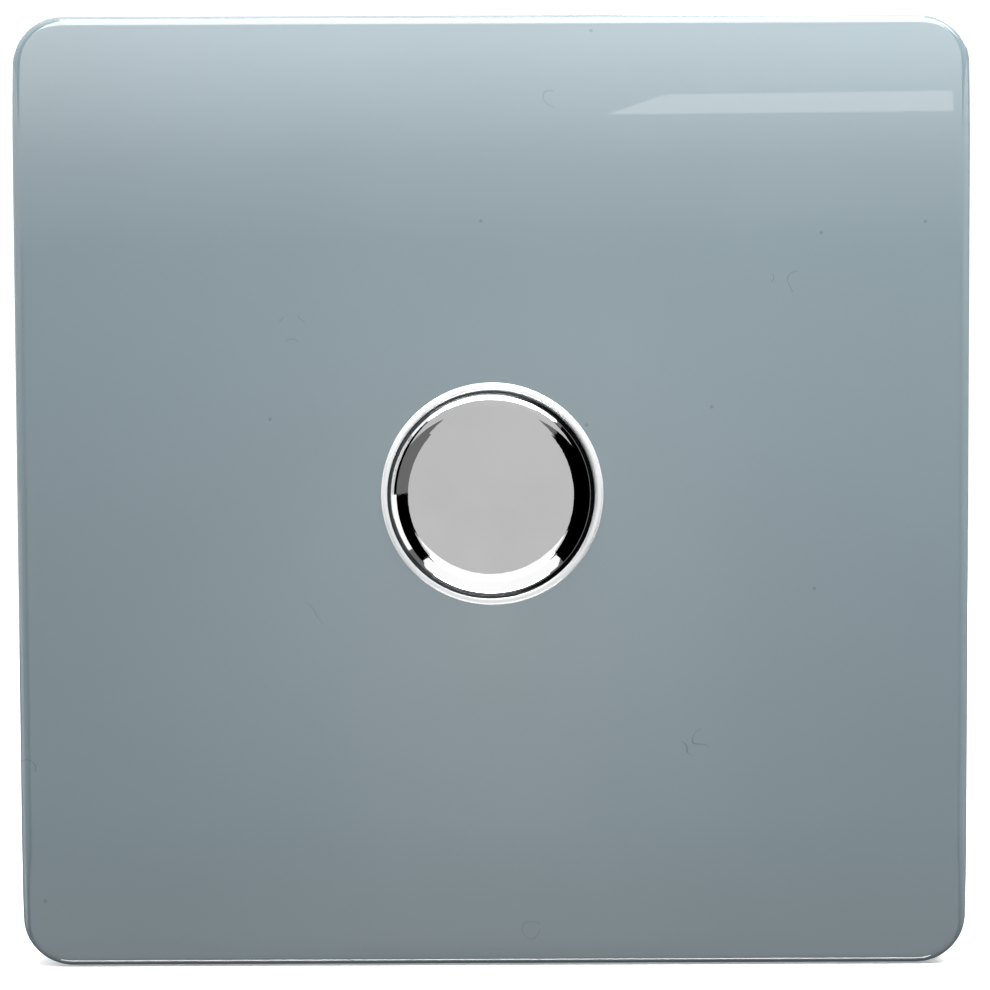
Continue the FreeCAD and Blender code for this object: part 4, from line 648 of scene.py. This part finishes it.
# %% Earth screw
# Made upright like the others, then laid down and set in its place under the tab.
CHEESE, CHEESE_TOP, CHEESE_ROUND, EARTH_FOOT, SLOT_WIDE, SLOT_FLOOR = 3.5, 2.2, 0.3, -6.0, 1.0, 1.2
EARTH_PLACE = Vector((28, 5.5, -22)) * MM
cheese_view = ([(0, CHEESE_TOP), (CENTRE, CHEESE_TOP)]
               + arc((CHEESE - CHEESE_ROUND, CHEESE_TOP - CHEESE_ROUND), CHEESE_ROUND, 90, 0, 4)
               + [(CHEESE, 0.1), (CHEESE - 0.1, 0), (SHANK, 0), (SHANK, -0.1)])
earth_end = [(SHANK, EARTH_FOOT + 0.4), (SHANK_END, EARTH_FOOT), (0, EARTH_FOOT)]
screw = make_piece("earth_screw_skin", threaded_skin(cheese_view, earth_end, PITCH), "fixed",
                   "screw_steel")
slot_cut = bmesh.new()
block(slot_cut, (-CHEESE - 0.1, -CHEESE_TOP - 0.2, -SLOT_WIDE / 2),
      (CHEESE + 0.1, -SLOT_FLOOR, SLOT_WIDE / 2))
rework(screw, slot_cut, "DIFFERENCE")
screw.data.transform(Matrix.Translation(EARTH_PLACE) @ Matrix.Rotation(math.pi / 2, 4, "X"))
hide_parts("earth_screw")

# %% [markdown]
# ## Wound wire
# Two parts are wound: the return spring, from round spring wire with its end coils closed so
# that they lie flat, and the choke, whose enamelled wire goes round the ring core turn by
# turn. Both are a round section swept along the path of the wire.

# %% Sweep a round wire
def wire_skin(path, radius, sides=10):
    """Sweep a round section along a path: each step has a place in mm and a level direction."""
    rings = [[path[0][0] * MM]]
    for number, (spot, level) in enumerate(path):
        before, after = path[max(number - 1, 0)][0], path[min(number + 1, len(path) - 1)][0]
        across = (after - before).cross(level).normalized()
        rings.append([(spot + radius * (level * math.cos(math.tau * side / sides)
                                        + across * math.sin(math.tau * side / sides))) * MM
                      for side in range(sides)])
    skin = bmesh.new()
    join_rings(skin, rings + [[path[-1][0] * MM]], closed=False)
    return skin


# %% Return spring
# WIRE and COIL are radii in mm, and CLOSED_END is the share of the wire in an end coil.
WIRE, COIL, COILS, CLOSED_END, SPRING_STEPS = 0.25, 2.25, 3.0, 0.15, 120
SPRING_FRONT, SPRING_BACK = 10.95, 14.45
path = []
for number in range(SPRING_STEPS + 1):
    share = number / SPRING_STEPS
    climb = min(max((share - CLOSED_END) / (1 - 2 * CLOSED_END), 0), 1)
    back = (SPRING_BACK - SPRING_FRONT - 2 * WIRE) * climb ** 2 * (3 - 2 * climb)
    angle = math.tau * COILS * share
    outwards = Vector((math.cos(angle), 0, math.sin(angle)))
    path.append((COIL * outwards + Vector((0, SPRING_FRONT + WIRE + back, 0)), outwards))
spring = make_piece("return_spring_coil", wire_skin(path, WIRE), None,
                    "spring_steel", 60)
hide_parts("return_spring")
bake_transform(spring)
print("faces of the spring:", len(spring.data.polygons))

# %% Winding of the choke
# The core's middle, its front and back, its two radii and the wire's lift, all in mm.
CHOKE, CHOKE_FRONT, CHOKE_BACK = Vector((-14.2, 0, 2.5)), 9.95, 14.95
CORE_INNER, CORE_OUTER, LIFT, TURNS, END_TURN = 3.05, 4.95, 0.3, 26, math.radians(146)
backwards = Vector((0, 1, 0))
once_round = []
for from_axis, back, start in ((CORE_OUTER, CHOKE_BACK, 0), (CORE_INNER, CHOKE_BACK, 90),
                               (CORE_INNER, CHOKE_FRONT, 180), (CORE_OUTER, CHOKE_FRONT, 270)):
    once_round += arc((from_axis, back), LIFT, start, start + 90, 3)
path = []
for number in range(TURNS * len(once_round)):
    from_axis, back = once_round[number % len(once_round)]
    angle = END_TURN * (2 * number / (TURNS * len(once_round)) - 1)
    outwards = Vector((math.sin(angle), 0, math.cos(angle)))
    path.append((CHOKE + from_axis * outwards + back * backwards, outwards.cross(backwards)))
winding = make_piece("choke_winding_wire", wire_skin(path, WIRE), "fixed",
                     "copper_wire", 60)
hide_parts("choke_winding")
print("faces of the winding:", len(winding.data.polygons))

# %% [markdown]
# ## The room that the chrome and the gloss reflect
# A product photograph of a mirror is a photograph of the studio. Cards stand where the
# photographer's boards stood: a grey one round the lens that turns white at its foot, a
# bright panel close above the knob that fades downwards, a bright strip and a white card
# below, a black flag on the right, and black, grey and white boards on the left. The cards
# are seen only in reflections and light nothing, so the lamps alone set the shading.

# %% Cards
def card(name, corners, light, gradient=None):
    """A board of four corners in mm that shows only in reflections. Light is its brightness,
    and gradient gives the axis, two places on it in mm and the brightness at the second."""
    skin = bmesh.new()
    skin.faces.new([skin.verts.new(Vector(corner) * MM) for corner in corners])
    mesh = bpy.data.meshes.new(name)
    skin.to_mesh(mesh)
    skin.free()
    material = bpy.data.materials.new(name)
    material.use_nodes = True
    tree = material.node_tree
    tree.nodes.clear()
    glow = add_node(tree, "ShaderNodeEmission", {"Color": linear("#FFFFFF"), "Strength": light})
    add_node(tree, "ShaderNodeOutputMaterial", {"Surface": glow.outputs[0]})
    if gradient:
        axis, start, end, far_light, curve = gradient
        place = add_node(tree, "ShaderNodeTexCoord").outputs["Object"]
        spot = add_node(tree, "ShaderNodeSeparateXYZ", {0: place}).outputs[axis]
        share = add_node(tree, "ShaderNodeMapRange", {
            "Value": spot, "From Min": start * MM, "From Max": end * MM}).outputs["Result"]
        bent = add_node(tree, "ShaderNodeMath", {0: share, 1: curve}, operation="POWER").outputs[0]
        shade = add_node(tree, "ShaderNodeMapRange", {
            "Value": bent, "To Min": light, "To Max": far_light}).outputs["Result"]
        tree.links.new(shade, glow.inputs["Strength"])
    mesh.materials.append(material)
    board = bpy.data.objects.new(name, mesh)
    bpy.context.scene.collection.objects.link(board)
    board.visible_camera = board.visible_diffuse = board.visible_shadow = False
    board.visible_transmission = board.visible_volume_scatter = False
    board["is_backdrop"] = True
    return board


def upright(name, left, right, low, high, away, light, gradient=None):
    """An upright card in front of the switch, facing it."""
    return card(name, [(left, -away, low), (right, -away, low), (right, -away, high),
                       (left, -away, high)], light, gradient)


def beside(name, across, near, far, low, high, light, gradient=None):
    """An upright card at one side of the switch, facing it."""
    return card(name, [(across, near, low), (across, far, low), (across, far, high),
                       (across, near, high)], light, gradient)


# %% Boards round the lens and above the knob
# Places and sizes in mm. FADE is the axis, its two ends, the last brightness and a curve.
# The side boards are for the plate alone: they would make the knob's crescent too long.
AWAY, NEAR, GREY, WHITE, BRIGHT = 407, 30, 0.91, 1.76, 16    # two distances, brightnesses
PANEL, BOARD, PANEL_FOOT, PANEL_TOP, ROOF, TURN_WHITE = 26, 50, 25, 57.5, 90, -105
FADE = (2, PANEL_FOOT, 54.6, 5.4, 1.0)
plate_only = bpy.data.collections.new("seen_by_the_plate_only")
plate_only.objects.link(plate)
upright("grey_card", -200, 200, TURN_WHITE, 650, AWAY, GREY)
upright("rising_card", -200, 200, -240, TURN_WHITE, AWAY, GREY,
        (2, TURN_WHITE, -240, WHITE, 1.0))
upright("bright_panel", -PANEL, PANEL, PANEL_FOOT, PANEL_TOP, NEAR, GREY, FADE)
upright("bright_top", -BOARD, BOARD, PANEL_TOP, ROOF, NEAR, BRIGHT)
card("bright_roof", [(-BOARD, -NEAR, ROOF), (BOARD, -NEAR, ROOF), (BOARD, -4, ROOF),
                     (-BOARD, -4, ROOF)], BRIGHT)
upright("small_grey_card", -16, 16, 9.5, 19.4, 21, GREY)
for side_board in (
        upright("bright_left", -BOARD, -PANEL, PANEL_FOOT, PANEL_TOP, NEAR, GREY, FADE),
        upright("bright_right", PANEL, BOARD, PANEL_FOOT, PANEL_TOP, NEAR, GREY, FADE)):
    side_board.light_linking.receiver_collection = plate_only

# %% Window that shows as a bar in the gloss, at the upper right
WINDOW, WINDOW_AT = 6.3, 1 - NEAR
card("window_bar", [(11.4, WINDOW_AT, 40.3), (PANEL, WINDOW_AT, 40.4),
                    (PANEL, WINDOW_AT, 43.5), (17.3, WINDOW_AT, 43.4)], WINDOW)
window_end = card("window_bar_end", [
    (PANEL, WINDOW_AT, 40.4), (46.2, WINDOW_AT, 40.6), (46.2, WINDOW_AT, 43.8),
    (PANEL, WINDOW_AT, 43.5)], WINDOW)
window_end.light_linking.receiver_collection = plate_only

# %% Boards below and at the sides
FLAG, FLAG_BACK, FLAG_HALF, FLAG_GREY, BLACK = 120, -65, 115, 0.25, 0.0
card("foot_strip", [(-BOARD, -23.6, -67.9), (BOARD, -23.6, -67.9), (BOARD, -17.6, -71.1),
                    (-BOARD, -17.6, -71.1)], 20)
card("white_card", [(-300, -AWAY, -240), (300, -AWAY, -240), (300, -30, -330),
                    (-300, -30, -330)], WHITE)
beside("right_flag", FLAG, 0, -320, -FLAG_HALF, FLAG_HALF, BLACK)
beside("left_flag", -FLAG, FLAG_BACK, -330, 0, FLAG_HALF, FLAG_GREY)
beside("left_flag_low", -FLAG, FLAG_BACK, -330, -FLAG_HALF, 0, BLACK)
beside("left_flag_side", -FLAG, 0, FLAG_BACK, 0, FLAG_HALF, BLACK)
beside("left_white", -FLAG, 0, FLAG_BACK, -80, 0, WHITE)
beside("left_strip", -60, 5, -25, -15, 75, WHITE)

# %% [markdown]
# ## Veils, and a sheet of painted shade and glow
# One set of boards doesn't give both the knob and the plate what the photograph shows in
# them. So three clear veils add their light for the knob alone or for the plate alone,
# and the rest see past them. The plate that shows in the knob's side is darker in the
# photograph than the plate itself. A sheet close to the plate paints that shade into the
# knob's reflection: it dims a look towards the plate, more so on the right, and lets a look
# from the plate pass. It also carries a painted glow, which the gloss shows round the knob.

# %% Veils for one part alone
def veil_of(board, part_only):
    """Make a card clear, so that it adds its light for one part and the rest see past it."""
    tree = board.data.materials[0].node_tree
    clear = add_node(tree, "ShaderNodeBsdfTransparent")
    both = add_node(tree, "ShaderNodeAddShader", {
        0: clear.outputs[0], 1: tree.nodes["Emission"].outputs[0]})
    tree.links.new(both.outputs[0], tree.nodes["Material Output"].inputs["Surface"])
    board.light_linking.receiver_collection = part_only


knob_only = bpy.data.collections.new("seen_by_the_knob_only")
knob_only.objects.link(knob)
veil_of(upright("knob_veil", -PANEL, PANEL, -36, -12.5, 60, 1.0), knob_only)
for across in (60, -60):
    veil_of(beside("side_veil", across, -60, -4, -44, 44, 0.7, (2, 0, 44, 3.0, 2.0)),
            plate_only)

# %% Sheet of painted shade and glow close to the plate
# Each painted glow has its place across and up, its width and height in mm, and its light.
# The sheet is seen only in reflections. Its front is painted shade, darker on the right, over the
# plate that the knob reflects.
SHEET_HALF, SHEET_AT, PAINTED_SHADE_LEFT, PAINTED_SHADE_RIGHT = 43, 8.3, "#808080", "#202020"
PAINTED_GLOWS = ((0, -12, 44, 50, 2.1), (12, 14, 90, 60, 0.6))
painted_shade_and_glow_sheet = upright("painted_shade_and_glow_sheet", -SHEET_HALF, SHEET_HALF, -SHEET_HALF, SHEET_HALF, SHEET_AT, BLACK)
tree = painted_shade_and_glow_sheet.data.materials[0].node_tree
tree.nodes.clear()
behind = add_node(tree, "ShaderNodeNewGeometry").outputs["Backfacing"]
place = add_node(tree, "ShaderNodeTexCoord").outputs["Object"]
right = add_node(tree, "ShaderNodeSeparateXYZ", {0: place}).outputs[0]
darker = add_node(tree, "ShaderNodeMapRange", {
    "Value": right, "From Min": 5 * MM, "From Max": 9 * MM}).outputs["Result"]
cloth_weave_and_painted_shade = add_node(tree, "ShaderNodeMix", {
    0: darker, 6: linear(PAINTED_SHADE_LEFT), 7: linear(PAINTED_SHADE_RIGHT)}, data_type="RGBA").outputs[2]
painted_shade_in_front = add_node(tree, "ShaderNodeMix", {
    0: behind, 6: cloth_weave_and_painted_shade, 7: linear("#FFFFFF")}, data_type="RGBA").outputs[2]
through = add_node(tree, "ShaderNodeBsdfTransparent", {"Color": painted_shade_in_front})
# Its back glows: a painted glow in the plate's gloss round the knob, for the plate alone.
glow = 0.0
for across, up, wide, high, light in PAINTED_GLOWS:
    spot = add_node(tree, "ShaderNodeMapping", {
        "Vector": place, "Location": (-across / wide, 0, -up / high),
        "Scale": (1 / (wide * MM), 0, 1 / (high * MM))}).outputs[0]
    fall = add_node(tree, "ShaderNodeTexGradient", {"Vector": spot},
                    gradient_type="QUADRATIC_SPHERE")
    glow = add_node(tree, "ShaderNodeMath", {
        0: fall.outputs["Fac"], 1: light, 2: glow}, operation="MULTIPLY_ADD").outputs[0]
glow = add_node(tree, "ShaderNodeMath", {0: glow, 1: behind}, operation="MULTIPLY").outputs[0]
lit = add_node(tree, "ShaderNodeEmission", {"Strength": glow})
both = add_node(tree, "ShaderNodeAddShader", {0: through.outputs[0], 1: lit.outputs[0]})
add_node(tree, "ShaderNodeOutputMaterial", {"Surface": both.outputs[0]})
painted_shade_and_glow_sheet.light_linking.receiver_collection = plate_only

# %% [markdown]
# ## Lamps, backdrop and floor
# Soft light falls from straight above, and a broad lamp near the top of the plate makes the
# face darken towards its foot. One at each side lifts the side walls, and two behind show
# the case in the other views. The photograph has no shadow of the knob on the gloss, so the
# parts at the knob don't block the lamp at the top. The floor is pale and plain, just under
# the plate's lower edge.

# %% Lamps
def broad_lamp(name, place, aim, size, strength):
    """A soft rectangular lamp that the lens doesn't see."""
    light = bpy.data.lights.new(name, "AREA")
    light.shape, light.size, light.size_y = "RECTANGLE", size[0] * MM, size[1] * MM
    light.energy = strength
    lamp = bpy.data.objects.new(name, light)
    lamp.location = Vector(place) * MM
    lamp.rotation_euler = (Vector(aim) - Vector(place)).to_track_quat("-Z", "Y").to_euler()
    lamp.visible_camera = False
    bpy.context.scene.collection.objects.link(lamp)
    return lamp


def watts(size, radiance):
    """Power of a rectangular lamp that glows with a given brightness."""
    return radiance * math.pi * size[0] * size[1] * MM * MM


KEY_SIZE, SIDE_SIZE, BACK_SIZE, LOW_BACK_SIZE = (200, 60), (40, 260), (400, 300), (300, 400)
key = broad_lamp("key_lamp", (48, -110, 170), (0, -7, 0), KEY_SIZE, watts(KEY_SIZE, 14.6))
unshaded = bpy.data.collections.new("no_shadow_from_key")
for piece in (knob, ring, nodes["spindle"], nodes["knob_clip"], nodes["control_bush"],
              nodes["bush_nut"]):
    unshaded.objects.link(piece)
    piece.visible_diffuse = False
key.light_linking.blocker_collection = unshaded
for entry in unshaded.collection_objects:
    entry.light_linking.link_state = "EXCLUDE"
broad_lamp("back_lamp", (250, 420, 380), (0, 8, 0), BACK_SIZE, watts(BACK_SIZE, 9))
broad_lamp("low_back_lamp", (-320, 420, 60), (0, 8, 0), LOW_BACK_SIZE, watts(LOW_BACK_SIZE, 4))
for across in (230, -230):
    lamp = broad_lamp("side_lamp", (across, -16, 0), (0, -6, 0), SIDE_SIZE, watts(SIDE_SIZE, 8))
    lamp.visible_glossy = False
sky = bpy.data.lights.new("soft_overhead", "SUN")
sky.angle, sky.energy = math.radians(84), math.pi
overhead = bpy.data.objects.new("soft_overhead", sky)
bpy.context.scene.collection.objects.link(overhead)

# %% Backdrop
FILL, BACKDROP = 0.25, 1.08    # what lights the parts, and what the lens sees
world = bpy.data.worlds.new("studio")
bpy.context.scene.world = world
world.use_nodes = True
tree = world.node_tree
seen = add_node(tree, "ShaderNodeLightPath").outputs["Is Camera Ray"]
fill = add_node(tree, "ShaderNodeMapRange", {
    "Value": seen, "To Min": FILL, "To Max": BACKDROP}).outputs["Result"]
tree.links.new(fill, tree.nodes["Background"].inputs["Strength"])
tree.nodes["Background"].inputs["Color"].default_value = linear("#FFFFFF")
print("backdrop:", world.name)

# %% Floor of white paper
FLOOR_HALF, FLOOR_AT, PAPER_FIBRE = 1500, -43.6, 1.5
skin = bmesh.new()
corners = [(-1, -1), (1, -1), (1, 1), (-1, 1)]
skin.faces.new([skin.verts.new(Vector((x * FLOOR_HALF, y * FLOOR_HALF, FLOOR_AT)) * MM)
                for x, y in corners])
mesh = bpy.data.meshes.new("floor")
skin.to_mesh(mesh)
skin.free()
paper = bpy.data.materials.new("white_paper")
paper.use_nodes = True
tree = paper.node_tree
shader = tree.nodes["Principled BSDF"]
place = add_node(tree, "ShaderNodeTexCoord").outputs["Object"]
fibre = add_node(tree, "ShaderNodeTexNoise", {
    "Vector": place, "Scale": 1 / (PAPER_FIBRE * MM), "Detail": 4.0}).outputs["Fac"]
pale = add_node(tree, "ShaderNodeMix", {
    0: fibre, 6: linear("#F6F6F5"), 7: linear("#FDFDFC")}, data_type="RGBA").outputs[2]
tree.links.new(pale, shader.inputs["Base Color"])
shader.inputs["Roughness"].default_value = 0.9
shader.inputs["Emission Color"].default_value = linear("#FFFFFF")
shader.inputs["Emission Strength"].default_value = 0.25
mesh.materials.append(paper)
floor = bpy.data.objects.new("floor", mesh)
floor.visible_diffuse = floor.visible_glossy = False
bpy.context.scene.collection.objects.link(floor)
floor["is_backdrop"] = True
print("floor at", FLOOR_AT, "mm")

# %% [markdown]
# ## Camera
# The photograph looks straight at the plate from about 20 cm, a little above its middle,
# so the lens points slightly down and the plate narrows by a hair towards its foot.

# %% Camera
VIEW_ANGLE, LOOK_DOWN, LEAN = math.radians(24.94), math.radians(2.5), math.radians(0.22)
lens = bpy.data.cameras.new("camera")
lens.sensor_fit = "HORIZONTAL"
lens.angle = VIEW_ANGLE
lens.shift_x, lens.shift_y = -0.0305, 0.0754
lens.clip_start, lens.clip_end = 0.01, 10
camera = bpy.data.objects.new("camera", lens)
camera.location = Vector((3, -211, 2)) * MM
camera.rotation_euler = (math.pi / 2 - LOOK_DOWN, LEAN, 0)
bpy.context.scene.collection.objects.link(camera)
bpy.context.scene.camera = camera
bpy.context.scene.view_settings.view_transform = "Standard"
print("camera at", [round(part, 3) for part in camera.location])

# %% Size
low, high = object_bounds()
print("dressed size in mm:", [round(side / MM, 2) for side in high - low])
